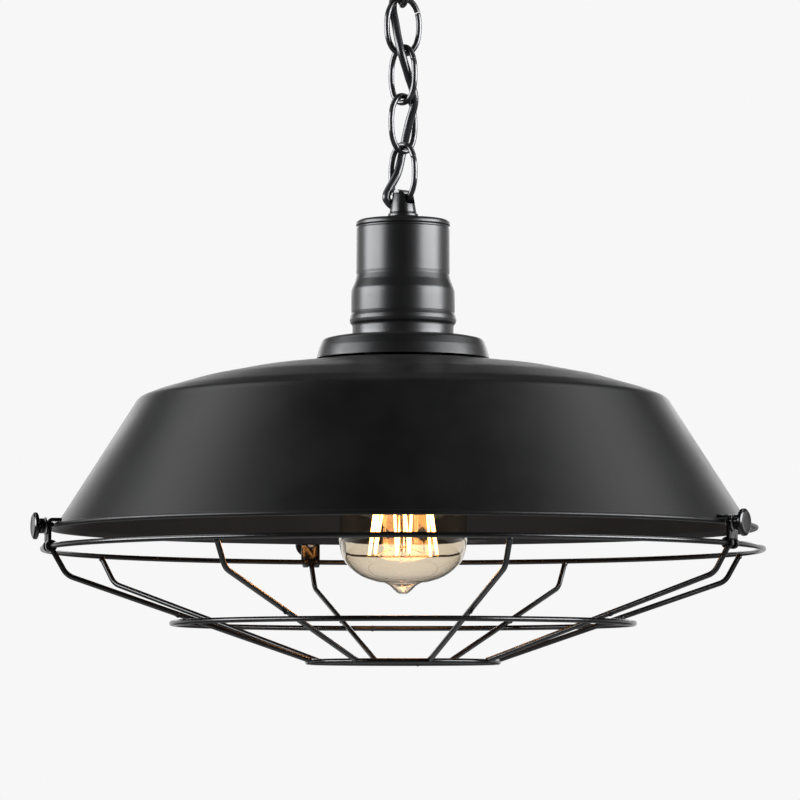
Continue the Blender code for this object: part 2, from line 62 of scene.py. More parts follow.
camera = bpy.data.objects.new("camera", bpy.data.cameras.new("camera"))
bpy.context.scene.collection.objects.link(camera)
camera.location = CAMERA_PLACE
camera.rotation_euler = (radians(90 + CAMERA_PITCH), 0, 0)
camera.data.lens = LENS
camera.data.sensor_width = 36
camera.data.clip_end = 100
bpy.context.scene.camera = camera


# ----------------------------------------
# Ceiling bracket: a loop of steel strip, folded with rounded corners and zinc plated. Two screws hold its top
# limb to the ceiling, and the hollow nipple hangs from its bottom limb.
BRACKET = (64 * MM, 20 * MM, 20 * MM)
BRACKET_T = 1.8 * MM
BRACKET_CORNER = 3.2 * MM
NIPPLE_R = 4.0 * MM
CEILING_SCREW_X = 22 * MM


def shade_node(tree, kind, inputs=None, **settings):
    """A shader node with its settings, and with a value or a link for each input named."""
    made = tree.nodes.new("ShaderNode" + kind)
    for key, value in settings.items():
        setattr(made, key, value)
    for key, value in (inputs or {}).items():
        if isinstance(value, bpy.types.NodeSocket):
            tree.links.new(value, made.inputs[key])
        else:
            made.inputs[key].default_value = value
    return made


def maths(tree, operation, *values, use_clamp=False):
    """One sum on up to three values or sockets."""
    made = shade_node(tree, "Math", dict(enumerate(values)), operation=operation, use_clamp=use_clamp)
    return made.outputs[0]


def ramp(tree, value, low, high, to_low=0.0, to_high=1.0):
    """A value stretched from low..high to to_low..to_high and held there."""
    ends = {"Value": value, "From Min": low, "From Max": high, "To Min": to_low, "To Max": to_high}
    return shade_node(tree, "MapRange", ends).outputs[0]


def clouds(tree, scale, detail, place=None, **more):
    """Soft noise over the place given, or over the generated coordinates."""
    inputs = {"Scale": scale, "Detail": detail, **more}
    if place is not None:
        inputs["Vector"] = place
    return shade_node(tree, "TexNoise", inputs).outputs[0]


def on_object(tree):
    return shade_node(tree, "TexCoord").outputs["Object"]


def feed(tree, targets, **sources):
    """Links each source to the socket of its name, with _ for a space."""
    for key, source in sources.items():
        tree.links.new(source, targets[key.replace("_", " ")])


def effect_group(name, inputs, outputs):
    """A node group with named sockets, and its inner ends: the group, what comes in and what goes out."""
    group = bpy.data.node_groups.new(name, "ShaderNodeTree")
    for label, kind, value in inputs:
        socket = group.interface.new_socket(label, in_out="INPUT", socket_type="NodeSocket" + kind)
        socket.default_value = value
    for label, kind in outputs:
        group.interface.new_socket(label, in_out="OUTPUT", socket_type="NodeSocket" + kind)
    return group, group.nodes.new("NodeGroupInput").outputs, group.nodes.new("NodeGroupOutput").inputs


def colour_mix(tree, factor, first, second):
    """The colour socket of a mix from first to second."""
    mix = tree.nodes.new("ShaderNodeMix")
    mix.data_type = "RGBA"
    for socket, value in ((mix.inputs[0], factor), (mix.inputs[6], first), (mix.inputs[7], second)):
        if isinstance(value, bpy.types.NodeSocket):
            tree.links.new(value, socket)
        else:
            socket.default_value = value
    return mix.outputs[2]


def plate_mottle_group():
    """Plated or cast metal: soft patches that are a little darker and duller, and a fine tooth."""
    group, given, made = effect_group(
        "plate_mottle",
        [("Colour", "Color", (0.5, 0.5, 0.5, 1)), ("Stain", "Color", (0.3, 0.3, 0.3, 1)),
         ("Patch Scale", "Float", 120.0), ("Tooth Scale", "Float", 2600.0), ("Roughness", "Float", 0.35)],
        [("Colour", "Color"), ("Roughness", "Float"), ("Height", "Float")],
    )
    place = on_object(group)
    patch = ramp(group, clouds(group, given["Patch Scale"], 5.0, place), 0.42, 0.72)
    feed(
        group, made, Colour=colour_mix(group, patch, given["Colour"], given["Stain"]),
        Roughness=maths(group, "MULTIPLY_ADD", patch, 0.16, given["Roughness"]),
        Height=clouds(group, given["Tooth Scale"], 2.0, place),
    )
    return group


def new_material(name, **values):
    """A material with its Principled shader's plain values, given by socket name with _ for a space."""
    material = bpy.data.materials.new(name)
    material.use_nodes = True
    shader = material.node_tree.nodes["Principled BSDF"]
    for key, value in values.items():
        shader.inputs[key.replace("_", " ")].default_value = value
    return material, material.node_tree, shader


def use_group(tree, group, **values):
    """The group placed in a material with its own values."""
    made = tree.nodes.new("ShaderNodeGroup")
    made.node_tree = group
    for key, value in values.items():
        made.inputs[key.replace("_", " ")].default_value = value
    return made


def bump(tree, shader, height, distance, strength=1.0):
    """Feeds a height into the shader's normal; the distance is how deep the surface goes, in metres."""
    made = shade_node(tree, "Bump", {"Height": height, "Distance": distance, "Strength": strength})
    feed(tree, shader.inputs, Normal=made.outputs[0])


plate_mottle = plate_mottle_group()


def plated_metal(name, colour, stain, roughness, patch_scale, tooth_depth):
    material, tree, shader = new_material(name, Metallic=1.0)
    mottle = use_group(
        tree, plate_mottle, Colour=colour, Stain=stain, Roughness=roughness, Patch_Scale=patch_scale
    )
    feed(tree, shader.inputs, Base_Color=mottle.outputs["Colour"], Roughness=mottle.outputs["Roughness"])
    bump(tree, shader, mottle.outputs["Height"], tooth_depth)
    return material


zinc_plate = plated_metal(
    "zinc_plate", (0.60, 0.61, 0.62, 1), (0.47, 0.45, 0.40, 1), 0.27, patch_scale=140.0, tooth_depth=6e-6
)


def piece_from(name, mesh, material, body, slot, *nodes, sharp=35):
    """Puts a mesh in the scene as a piece that rides a body and stands for CAD nodes."""
    piece = bpy.data.objects.new(name, mesh)
    bpy.context.scene.collection.objects.link(piece)
    mesh.materials.clear()
    mesh.materials.append(material)
    mesh.shade_smooth()
    if sharp:
        mesh.set_sharp_from_angle(angle=radians(sharp))
    if body:
        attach(piece, body)
    if nodes:
        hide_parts(*nodes)
    return piece


def mesh_from(make, name="shape"):
    """A mesh that the given function fills through a bmesh."""
    bm = bmesh.new()
    make(bm)
    mesh = bpy.data.meshes.new(name)
    bm.to_mesh(mesh)
    bm.free()
    return mesh


def rod(radius, start, end, sides=48):
    """A straight rod between two points."""
    way = Vector(end) - Vector(start)
    turn = way.to_track_quat("Z", "Y").to_matrix().to_4x4()
    place = Matrix.Translation((Vector(start) + Vector(end)) / 2) @ turn
    return mesh_from(lambda bm: bmesh.ops.create_cone(
        bm, cap_ends=True, segments=sides, radius1=radius, radius2=radius, depth=way.length, matrix=place
    ))


def block(size, centre, rounding=0.0, edges="all"):
    """A block with its edges rounded: all of them, or those that run along x, y or z."""

    def make(bm):
        bmesh.ops.create_cube(bm, size=1, matrix=Matrix.Translation(centre) @ Matrix.Diagonal((*size, 1)))
        if rounding:
            along = {"x": 0, "y": 1, "z": 2}.get(edges)
            chosen = [
                edge for edge in bm.edges
                if along is None or abs((edge.verts[0].co - edge.verts[1].co).normalized()[along]) > 0.9
            ]
            bmesh.ops.bevel(bm, geom=chosen, offset=rounding, segments=5, profile=0.5, affect="EDGES")

    return mesh_from(make)


def settled(work):
    """The work object's mesh with its modifiers applied."""
    bpy.context.view_layer.update()
    return bpy.data.meshes.new_from_object(work.evaluated_get(bpy.context.evaluated_depsgraph_get()))


def carved(mesh, helpers, operation="DIFFERENCE"):
    """The mesh with the helpers cut out of it or joined to it, one after another."""
    work = bpy.data.objects.new("work", mesh)
    tools = [bpy.data.objects.new("tool", helper) for helper in helpers]
    for obj in (work, *tools):
        bpy.context.scene.collection.objects.link(obj)
    for tool in tools:
        change = work.modifiers.new("change", "BOOLEAN")
        change.operation = operation
        change.object = tool
    result = settled(work)
    for obj in (work, *tools):
        bpy.data.objects.remove(obj)
    return result


def joined(meshes, name="shape"):
    """Several meshes as one, each still its own closed body."""

    def make(bm):
        for mesh in meshes:
            bm.from_mesh(mesh)

    return mesh_from(make, name)


def eased(mesh, width, limit=40, segments=2):
    """The mesh with its sharper edges rounded off."""
    work = bpy.data.objects.new("work", mesh)
    bpy.context.scene.collection.objects.link(work)
    change = work.modifiers.new("ease", "BEVEL")
    change.width = width
    change.segments = segments
    change.limit_method = "ANGLE"
    change.angle_limit = radians(limit)
    result = settled(work)
    bpy.data.objects.remove(work)
    return result


bracket_middle = (0, 0, -BRACKET[2] / 2)
strap = block(BRACKET, bracket_middle, BRACKET_CORNER, "y")
window_size = (BRACKET[0] - 2 * BRACKET_T, 2 * BRACKET[1], BRACKET[2] - 2 * BRACKET_T)
ceiling_holes = [
    rod(2.25 * MM, (side * CEILING_SCREW_X, 0, -5 * MM), (side * CEILING_SCREW_X, 0, 5 * MM))
    for side in (-1, 1)
]
nipple_hole = rod(NIPPLE_R + 0.2 * MM, (0, 0, -BRACKET[2] - 2 * MM), (0, 0, -BRACKET[2] + 4 * MM))
strap = carved(
    strap, [block(window_size, bracket_middle, BRACKET_CORNER - BRACKET_T, "y"), nipple_hole, *ceiling_holes]
)
piece_from("bracket_strap", eased(strap, 0.25 * MM), zinc_plate, "ceiling", "zinc", "ceiling_bracket")

# ----------------------------------------
# Upper nipple and its nut: a hollow threaded tube that carries the lamp's weight, and a pressed hexagon nut
# on the bracket's bottom limb. The flex runs down through the bore.
NIPPLE_BORE_R = 2.8 * MM
NIPPLE_PITCH = 1.0 * MM
NIPPLE_THREAD = 0.45 * MM  # how deep it is cut
NUT_ACROSS = 13 * MM
LOWEST_CONTACT_Z = RIM_Z + 167.3 * MM  # where the lamp's bell bears on the last link
CHAIN_PITCH = 24.6 * MM
contacts = [LOWEST_CONTACT_Z + CHAIN_PITCH * step for step in range(5, -1, -1)]  # top first
CANOPY_Z = contacts[0] + 11.4 * MM  # the canopy's underside
limb_z = -BRACKET[2] + BRACKET_T / 2


def lathe(profile, turns=96, closed=False):
    """A profile of (radius, height) points turned about the lamp's axis."""

    def make(bm):
        points = [bm.verts.new((r, 0, z)) for r, z in profile]
        ends = points[1:] + points[:1] if closed else points[1:]
        edges = [bm.edges.new(pair) for pair in zip(points, ends)]
        bmesh.ops.spin(
            bm, geom=points + edges, cent=(0, 0, 0), axis=(0, 0, 1), angle=2 * pi, steps=turns, use_merge=True
        )
        bmesh.ops.remove_doubles(bm, verts=bm.verts, dist=2e-6)
        bmesh.ops.recalc_face_normals(bm, faces=bm.faces)

    return mesh_from(make)


def cut_thread(mesh, pitch, depth, low, high, inner, outer, runout=None):
    """Sinks a right-hand thread into the surface between two radii and two heights, fading at its ends."""
    runout = runout or pitch
    for vertex in mesh.vertices:
        x, y, z = vertex.co
        radius = hypot(x, y)
        if inner <= radius <= outer and low <= z <= high:
            turn = Vector((x, y)).angle_signed(Vector((1, 0)), 0.0)
            fade = min(1, (z - low) / runout, (high - z) / runout)
            sunk = depth * fade * (0.5 + 0.5 * cos(2 * pi * z / pitch - turn))
            vertex.co.xy *= (radius - sunk) / radius
    return mesh


def threaded_tube(bore, radius, low, high, pitch, depth, turns=40, rows=7):
    """A tube with a thread all along its outside and chamfered ends."""
    chamfer = 0.5 * MM
    count = int((high - low - 2 * chamfer) / pitch * rows)
    side = [(radius, high - chamfer - (high - low - 2 * chamfer) * step / count) for step in range(count + 1)]
    ends = ([(bore, high), (radius - chamfer, high)], [(radius - chamfer, low), (bore, low)])
    tube = lathe(ends[0] + side + ends[1], turns, closed=True)
    return cut_thread(tube, pitch, depth, low + chamfer, high - chamfer, radius - 0.1 * MM, radius + 0.1 * MM)


def hexagon_nut(low, height, across):
    """A nut with its corners chamfered on both faces."""
    corner_r = across / 2 / cos(pi / 6)
    drop = (corner_r - across / 2) * 0.55

    def make(bm):
        place = Matrix.Translation((0, 0, low + height / 2))
        bmesh.ops.create_cone(
            bm, cap_ends=True, segments=6, radius1=corner_r, radius2=corner_r, depth=height, matrix=place
        )

    top = low + height
    flat_r = across / 2 * 0.985
    cone = [
        (0, top), (flat_r, top), (corner_r + 0.1 * MM, top - drop), (corner_r + 0.1 * MM, low + drop),
        (flat_r, low), (0, low)
    ]
    nut = carved(mesh_from(make), [lathe(cone, 72)], "INTERSECT")
    return carved(nut, [rod(NIPPLE_R + 0.12 * MM, (0, 0, low - height), (0, 0, top + height))])


upper_nipple = threaded_tube(
    NIPPLE_BORE_R, NIPPLE_R, CANOPY_Z - 2.2 * MM, limb_z + 4.8 * MM, NIPPLE_PITCH, NIPPLE_THREAD
)
piece_from("upper_nipple", upper_nipple, zinc_plate, "ceiling", "zinc", "bracket_nipple", sharp=60)
upper_nut = hexagon_nut(limb_z + BRACKET_T / 2 + 0.3 * MM, 3 * MM, NUT_ACROSS)
piece_from("upper_nut", upper_nut, zinc_plate, "ceiling", "zinc", "bracket_nut")

# ----------------------------------------
# Canopy: a steel dish spun to shape and powder coated satin black. It hides the bracket and the wiring, and
# the upper bell holds it up against the ceiling.
SHEET = 0.8 * MM


def softened(corners, closed=False, steps=6):
    """Corners (r, z, rounding) in millimetres as points in metres, each corner rounded by an arc."""
    points = []
    for place, (r, z, rounding) in enumerate(corners):
        corner = Vector((r, z))
        if not rounding or not (closed or 0 < place < len(corners) - 1):
            points.append(corner * MM)
            continue
        back = Vector(corners[place - 1][:2]) - corner
        on = Vector(corners[(place + 1) % len(corners)][:2]) - corner
        half = back.angle(on) / 2
        rounding = min(rounding, 0.49 * min(back.length, on.length) * tan(half))
        back.normalize()
        on.normalize()
        centre = (back + on).normalized() * rounding / sin(half)
        first = back * rounding / tan(half) - centre
        last = on * rounding / tan(half) - centre
        sweep = first.angle(last) * (1 if first.x * last.y > first.y * last.x else -1)
        for step in range(steps + 1):
            points.append((corner + centre + Matrix.Rotation(sweep * step / steps, 2) @ first) * MM)
    return points


def walled(path, wall):
    """A closed outline: a path down the outer side, and the same path moved in by the wall."""
    inner = []
    for place, point in enumerate(path):
        before = (point - path[max(place - 1, 0)]).normalized()
        after = (path[min(place + 1, len(path) - 1)] - point).normalized()
        along = (before + after).normalized()
        stretch = max(0.5, along.dot(after if after.length else before))
        moved = point + Vector((along.y, -along.x)) * wall / stretch
        moved.x = max(moved.x, 0.0)
        inner.append(moved)
    return list(path) + inner[::-1]


def paint_skin_group():
    """Baked powder paint: orange peel, broad soft patches and a few fine specks."""
    group, given, made = effect_group(
        "paint_skin",
        [("Colour", "Color", (0.01, 0.01, 0.01, 1)), ("Roughness", "Float", 0.35),
         ("Peel Scale", "Float", 900.0), ("Patchiness", "Float", 0.3)],
        [("Colour", "Color"), ("Roughness", "Float"), ("Height", "Float")],
    )
    place = on_object(group)
    peel = clouds(group, given["Peel Scale"], 2.0, place, Roughness=0.45)
    specks = shade_node(group, "TexVoronoi", {"Vector": place, "Scale": 520.0, "Randomness": 1.0})
    speck = ramp(group, specks.outputs["Distance"], 0.09, 0.04)
    broad = clouds(group, 26.0, 4.0, place, Roughness=0.6)
    patch = maths(group, "MULTIPLY", ramp(group, broad, 0.3, 0.7, -1.0), given["Patchiness"])
    tone = maths(group, "ADD", patch, 1.0)
    toned = shade_node(group, "VectorMath", {0: given["Colour"], "Scale": tone}, operation="SCALE")
    feed(
        group, made, Colour=colour_mix(group, speck, toned.outputs[0], (0.02, 0.0195, 0.019, 1)),
        Roughness=maths(group, "MULTIPLY_ADD", patch, 0.12, given["Roughness"]),
        Height=maths(group, "MULTIPLY_ADD", speck, 0.5, peel),
    )
    return group


def spun_marks_group():
    """The faint rings that the spinning tool leaves round a sheet metal form, seen through its paint."""
    group, given, made = effect_group(
        "spun_marks", [("Ring Scale", "Float", 500.0)], [("Height", "Float"), ("Shade", "Float")]
    )
    place = on_object(group)
    flat = shade_node(group, "VectorMath", {0: place, 1: (1, 1, 0)}, operation="MULTIPLY")
    radius = shade_node(group, "VectorMath", {0: flat.outputs[0]}, operation="LENGTH")
    height = shade_node(group, "SeparateXYZ", {0: place}).outputs["Z"]
    along = maths(group, "SUBTRACT", radius.outputs["Value"], height)
    fine, broad = (
        shade_node(group, "TexNoise", {"W": along, "Scale": scale, "Detail": detail}, noise_dimensions="1D")
        for scale, detail in ((given["Ring Scale"], 3.0), (90.0, 2.0))
    )
    both = maths(group, "MULTIPLY_ADD", broad.outputs[0], 1.6, fine.outputs[0])
    feed(group, made, Height=both, Shade=broad.outputs[0])
    return group


def edge_sheen_group():
    """A mask of the sharper edges, broken up by noise, where the paints put a painted highlight and more
    gloss.
    """
    group, given, made = effect_group("edge_sheen", [("Amount", "Float", 0.5)], [("Mask", "Float")])
    ridge = shade_node(group, "NewGeometry").outputs["Pointiness"]
    breaks = clouds(group, 160.0, 4.0, on_object(group))
    mask = maths(group, "MULTIPLY", ramp(group, ridge, 0.53, 0.62), ramp(group, breaks, 0.35, 0.6))
    feed(group, made, Mask=maths(group, "MULTIPLY", mask, given["Amount"], use_clamp=True))
    return group


def settled_dust_group():
    """A mask of the dust that settles on faces that look up."""
    group, given, made = effect_group("settled_dust", [("Amount", "Float", 0.1)], [("Mask", "Float")])
    up = shade_node(
        group, "SeparateXYZ", {0: shade_node(group, "NewGeometry").outputs["Normal"]}
    ).outputs["Z"]
    drift = clouds(group, 48.0, 6.0, on_object(group), Roughness=0.7)
    mask = maths(group, "MULTIPLY", ramp(group, up, 0.75, 1.0), ramp(group, drift, 0.3, 0.75))
    feed(group, made, Mask=maths(group, "MULTIPLY", mask, given["Amount"], use_clamp=True))
    return group


paint_skin = paint_skin_group()
spun_marks = spun_marks_group()
edge_sheen = edge_sheen_group()
settled_dust = settled_dust_group()
BLACK = (0.0042, 0.0042, 0.0044, 1)
# The lighter colour of sharp edges: a painted highlight along beads, rims and wires.
EDGE_SHEEN = (0.02, 0.0196, 0.019, 1)
DUST = (0.16, 0.15, 0.135, 1)
EDGE_GLOSS = 0.45  # how much shinier a sharp edge is, under its painted highlight


def black_paint(
    name, roughness, gloss=0.5, peel_depth=8e-6, ring_depth=0.0, dust=0.0, sheen=0.4, patchiness=0.25,
    polish=0.12
):
    """Satin black paint on steel. Rings show only on spun pieces, and dust only where it can settle."""
    material, tree, shader = new_material(name)
    skin = use_group(tree, paint_skin, Colour=BLACK, Roughness=roughness, Patchiness=patchiness)
    edge_sheen_mask = use_group(tree, edge_sheen, Amount=sheen).outputs[0]
    dusty = use_group(tree, settled_dust, Amount=dust).outputs[0]
    # Sharp edges get a lighter colour, a painted highlight, and a real rise in gloss and smoothness.
    colour_with_sheen = colour_mix(tree, edge_sheen_mask, skin.outputs["Colour"], EDGE_SHEEN)
    smoother = maths(tree, "MULTIPLY_ADD", edge_sheen_mask, -polish, skin.outputs["Roughness"])
    feed(
        tree, shader.inputs, Base_Color=colour_mix(tree, dusty, colour_with_sheen, DUST),
        Roughness=maths(tree, "MULTIPLY_ADD", dusty, 0.5, smoother),
        Specular_IOR_Level=maths(tree, "MULTIPLY_ADD", edge_sheen_mask, EDGE_GLOSS, gloss),
    )
    height = skin.outputs["Height"]
    if ring_depth:
        rings = use_group(tree, spun_marks).outputs["Height"]
        height = maths(tree, "MULTIPLY_ADD", rings, ring_depth / peel_depth, height)
    bump(tree, shader, height, peel_depth)
    return material


spun_black = black_paint("spun_black", 0.35, ring_depth=5e-6, dust=0.06)

canopy_z = CANOPY_Z / MM
canopy_path = softened(
    [
        (4.3, canopy_z, 0), (34, canopy_z, 30), (49, canopy_z + 3.4, 14), (53.9, canopy_z + 12, 20),
        (55, -0.5, 0)
    ], steps=10
)
canopy = lathe(walled(canopy_path, SHEET), 160, closed=True)
piece_from("canopy_cover", canopy, spun_black, "ceiling", "black_satin", "canopy")

# ----------------------------------------
# The flex: a round mains lead with a smooth black sheath. It leaves the terminal block, passes the upper
# nipple and winds a quarter turn round the chain at each link, down into the lamp holder. It is made in six
# lengths, each between two neighbours.
CORD_R = 2.1 * MM
CORD_ANGLES = [60, 150, 255, 360, 450, 540]  # where it passes each contact, degrees from +X, top first
CORD_OUT = [6.6 * MM, 5.8 * MM, 4.9 * MM, 5.8 * MM, 5.8 * MM, 7.6 * MM]
CORD_IN = 3.9 * MM  # how far out it crosses each link's plane


def around(radius, angle, z):
    return Vector((radius * cos(radians(angle)), radius * sin(radians(angle)), z))


def smooth_route(points, per_span):
    """A Catmull-Rom curve through the points."""
    padded = [2 * points[0] - points[1], *points, 2 * points[-1] - points[-2]]
    route = []
    for before, start, end, after in zip(padded, padded[1:], padded[2:], padded[3:]):
        for step in range(per_span):
            t = step / per_span
            bend = (end - before) * t
            bend += (2 * before - 5 * start + 4 * end - after) * t**2
            bend += (3 * start - before - 3 * end + after) * t**3
            route.append(start + bend / 2)
    return [*route, points[-1]]


def tube(path, radius, sides=20, closed=False):
    """A round wire along a path, as a mesh with flat ends or joined into a ring."""
    count = len(path)

    def tangent(place):
        ahead = path[(place + 1) % count] if closed else path[min(place + 1, count - 1)]
        behind = path[place - 1] if closed or place else path[0]
        return (ahead - behind).normalized()

    def make(bm):
        way = tangent(0)
        across = way.orthogonal().normalized()
        rings = []
        for place in range(count):
            fresh = tangent(place)
            across = (way.rotation_difference(fresh) @ across).normalized()
            way = fresh
            beside = way.cross(across)
            turns = [2 * pi * side / sides for side in range(sides)]
            rings.append(
                [bm.verts.new(path[place] + radius * (cos(a) * across + sin(a) * beside)) for a in turns]
            )
        pairs = list(zip(rings, rings[1:]))
        for first, second in pairs:
            for side in range(sides):
                after = (side + 1) % sides
                bm.faces.new((first[side], first[after], second[after], second[side]))
        if closed:
            first, second = rings[-1], rings[0]
            shift = min(range(sides), key=lambda turn: (second[turn].co - first[0].co).length)
            for side in range(sides):
                after = (side + 1) % sides
                bm.faces.new((
                    first[side], first[after], second[(after + shift) % sides], second[(side + shift) % sides]
                ))
        else:
            bm.faces.new(rings[0][::-1])
            bm.faces.new(rings[-1])
        bmesh.ops.recalc_face_normals(bm, faces=bm.faces)

    return mesh_from(make)


cord_points = [
    Vector((0, 15.2 * MM, -9.0 * MM)),
    Vector((0, 12 * MM, -8.0 * MM)),
    Vector((0, 7 * MM, -7.0 * MM)),
    Vector((0, 2.4 * MM, -8.6 * MM)),
    Vector((0, 0.3 * MM, -12.6 * MM)),
    Vector((0, 0, -17 * MM)),
    Vector((0, 0, CANOPY_Z + 2 * MM)),
    around(0, CORD_ANGLES[0], CANOPY_Z - 1.8 * MM),
    around(3.0 * MM, CORD_ANGLES[0], CANOPY_Z - 5.6 * MM),
    around(6.8 * MM, CORD_ANGLES[0], CANOPY_Z - 8.4 * MM),
    around(8.2 * MM, CORD_ANGLES[0], contacts[0] - 1.2 * MM),
]
for place in range(5):
    if place:
        cord_points.append(around(CORD_OUT[place], CORD_ANGLES[place], contacts[place]))
    middle = (CORD_ANGLES[place] + CORD_ANGLES[place + 1]) / 2
    cord_points.append(around(CORD_IN, middle, (contacts[place] + contacts[place + 1]) / 2))
cord_points += [
    around(8.1 * MM, CORD_ANGLES[-1], contacts[5] + 1.4 * MM),
    around(7.2 * MM, CORD_ANGLES[-1], contacts[5] - 2.6 * MM),
    around(3.4 * MM, CORD_ANGLES[-1], contacts[5] - 6.0 * MM),
    around(0.1 * MM, CORD_ANGLES[-1], contacts[5] - 10.4 * MM),
    Vector((0, 0, RIM_Z + 153 * MM)),
    Vector((0, 0, RIM_Z + 140 * MM)),
    Vector((0, 0, RIM_Z + 130 * MM)),
    Vector((0, 0, RIM_Z + 121 * MM)),
]
cord_route = smooth_route(cord_points, 8)


def sheath_material():
    """Black vinyl with fine lines along its extruded length and a little bloom."""
    material, tree, shader = new_material(
        "sheath", Specular_IOR_Level=0.5, Coat_Weight=0.15, Coat_Roughness=0.12
    )
    skin = use_group(
        tree, paint_skin, Colour=(0.012, 0.0125, 0.014, 1), Roughness=0.27, Peel_Scale=1500.0, Patchiness=0.3
    )
    feed(tree, shader.inputs, Base_Color=skin.outputs["Colour"], Roughness=skin.outputs["Roughness"])
    drawn = shade_node(tree, "VectorMath", {0: on_object(tree), 1: (1, 1, 0.04)}, operation="MULTIPLY")
    bump(tree, shader, clouds(tree, 2200.0, 2.0, drawn.outputs[0]), 7e-6)
    return material


sheath = sheath_material()
cuts = [(upper + lower) / 2 for upper, lower in zip(contacts, contacts[1:])]  # each link's middle height
levels = [1.0, *cuts, -1.0]
for place, contact_z in enumerate(contacts):
    top, bottom = levels[place], levels[place + 1]
    inside = [
        spot for spot,
        point in enumerate(cord_route) if bottom <= point.z <= top or (place == 0 and spot < 60)
    ]
    first, last = inside[0], inside[-1]
    length = cord_route[first : last + 1]
    if place:
        seam = cord_route[first - 1].lerp(cord_route[first], 0.5)
        length = [seam, *length]
    if place < 5:
        length = [*length, cord_route[last].lerp(cord_route[last + 1], 0.5)]
    flex = piece_from(f"flex_{place + 1}", tube(length, CORD_R, 24), sheath, None, "black_flex", "power_cord")
    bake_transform(flex)

# ----------------------------------------
# Terminal block: a moulded phenolic block on the bracket's side, with three brass clamping screws at the
# bottom of their wells. The supply wires and the flex meet in it.
TERMINAL = (26 * MM, 12 * MM, 11 * MM)
terminal_middle = Vector((0, 22 * MM, -9 * MM))


def moulded_material(name, colour, fleck, roughness):
    """Pressed phenolic: a dark body with flow streaks and a slightly uneven polish."""
    material, tree, shader = new_material(name, Specular_IOR_Level=0.55)
    flow = clouds(tree, 210.0, 6.0, on_object(tree), Distortion=1.6)
    streaked = colour_mix(tree, ramp(tree, flow, 0.5, 0.75), colour, fleck)
    feed(
        tree, shader.inputs, Base_Color=streaked, Roughness=maths(tree, "MULTIPLY_ADD", flow, 0.2, roughness)
    )
    bump(tree, shader, flow, 12e-6)
    return material


phenolic = moulded_material("phenolic", (0.016, 0.013, 0.011, 1), (0.05, 0.034, 0.024, 1), 0.3)
brass = plated_metal(
    "brass", (0.78, 0.57, 0.27, 1), (0.42, 0.27, 0.12, 1), 0.24, patch_scale=170.0, tooth_depth=4e-6
)

well_tops = [
    Vector((side * 8 * MM, terminal_middle.y, terminal_middle.z - TERMINAL[2] / 2)) for side in (-1, 0, 1)
]
wells = [rod(1.9 * MM, top - Vector((0, 0, 2 * MM)), top + Vector((0, 0, 4 * MM)), 32) for top in well_tops]
grooves = [
    block(
        (0.8 * MM, 2 * TERMINAL[1], 1.2 * MM), terminal_middle + Vector((side * 4 * MM, 0, -TERMINAL[2] / 2))
    )
    for side in (-1, 1)
]
entries = [
    rod(
        1.7 * MM, top + Vector((0, 4.5 * MM, 6 * MM)), top + Vector((0, 8 * MM, 6 * MM)), 24
    ) for top in well_tops
]
housing = carved(block(TERMINAL, terminal_middle, 1.1 * MM), [*wells, *grooves, *entries])
piece_from("terminal_housing", housing, phenolic, "ceiling", "phenolic", "terminal_block", sharp=30)


def slotted_screw(radius, head, slot_width):
    """A screw head about the origin, its slotted face towards -Z."""
    face = [(0, 0, 0), (radius, 0, 0.35), (radius, head, 0), (0, head, 0)]
    screw = lathe(softened(face, steps=4), 32)
    return carved(screw, [block((4 * radius * MM, slot_width * MM, 1.2 * MM), (0, 0, 0))])


screws = []
for number, top in enumerate(well_tops):
    screw = slotted_screw(1.75, 1.9, 0.6)
    slot_turn = Matrix.Rotation(radians(25 + 50 * number), 4, "Z")
    screw.transform(Matrix.Translation(top + Vector((0, 0, 1.4 * MM))) @ slot_turn)
    screws.append(screw)
piece_from("terminal_screws", joined(screws), brass, "ceiling", "brass")

# ----------------------------------------
# The two bells: turned and milled steel, painted satin black. Each screws on a nipple, is slotted for the end
# link, and has a pin across the slot that the link hangs on. A side channel lets the flex out beside the
# link.
LINK_TURNS = [105, 15, -45, 45, -45]  # each link's plane about Z, degrees from +X, top link first
CHAIN_WIRE_R = 1.5 * MM
EYE_R = 1.7 * MM
SLOT_HALF = 3.2 * MM

bell_black = black_paint("bell_black", 0.27, gloss=0.6, sheen=0.6, dust=0.04)


def bell(base_z, contact_z, turn, up):
    """A bell on its base, pointing up or down, with its pin along the turn and its slot square to it."""
    way = 1 if up else -1
    height = abs(contact_z - base_z) / MM
    eye = EYE_R / MM
    corners = [
        (0, height + eye * 2, 0), (2.9, height + eye * 1.95, 1.5), (5.1, height + eye * 1.1, 2.0),
        (6.0, height - 3, 6),
        (6.9, 3.65, 0.25), (6.3, 3.2, 0.25), (7.7, 2.8, 0.4), (7.8, 1.6, 0.5), (9.3, 0.35, 0.3),
        (9.3, 0, 0.1), (0, 0, 0),
    ]
    body = lathe(softened(corners, steps=4), 96)
    along = Vector((cos(radians(turn)), sin(radians(turn)), 0))
    slot_low = height * MM - 2 * CHAIN_WIRE_R - 0.9 * MM
    slot = block((30 * MM, 2 * SLOT_HALF, 20 * MM), (0, 0, slot_low + 10 * MM), 1.0 * MM, "x")
    slot.transform(Matrix.Rotation(radians(way * turn) + pi / 2, 4, "Z"))
    pin_z = height * MM + 0.15 * MM + EYE_R
    pin_way = Vector((along.x, way * along.y, 0)) * 4.8 * MM
    thread = rod(NIPPLE_R + 0.15 * MM, (0, 0, -2 * MM), (0, 0, 3.4 * MM), 40)
    body = carved(body, [slot, thread])
    body = carved(
        body, [rod(EYE_R, Vector((0, 0, pin_z)) - pin_way, Vector((0, 0, pin_z)) + pin_way, 32)], "UNION"
    )
    flip = Matrix.Identity(4) if up else Matrix.Rotation(pi, 4, "X")
    body.transform(Matrix.Translation((0, 0, base_z)) @ flip)
    low, high = sorted((base_z - way * 2 * MM, contact_z + way * 8 * MM))
    inside = [point for point in cord_route[::3] if low < point.z < high]
    return carved(body, [tube(inside, CORD_R + 0.5 * MM, 24)])


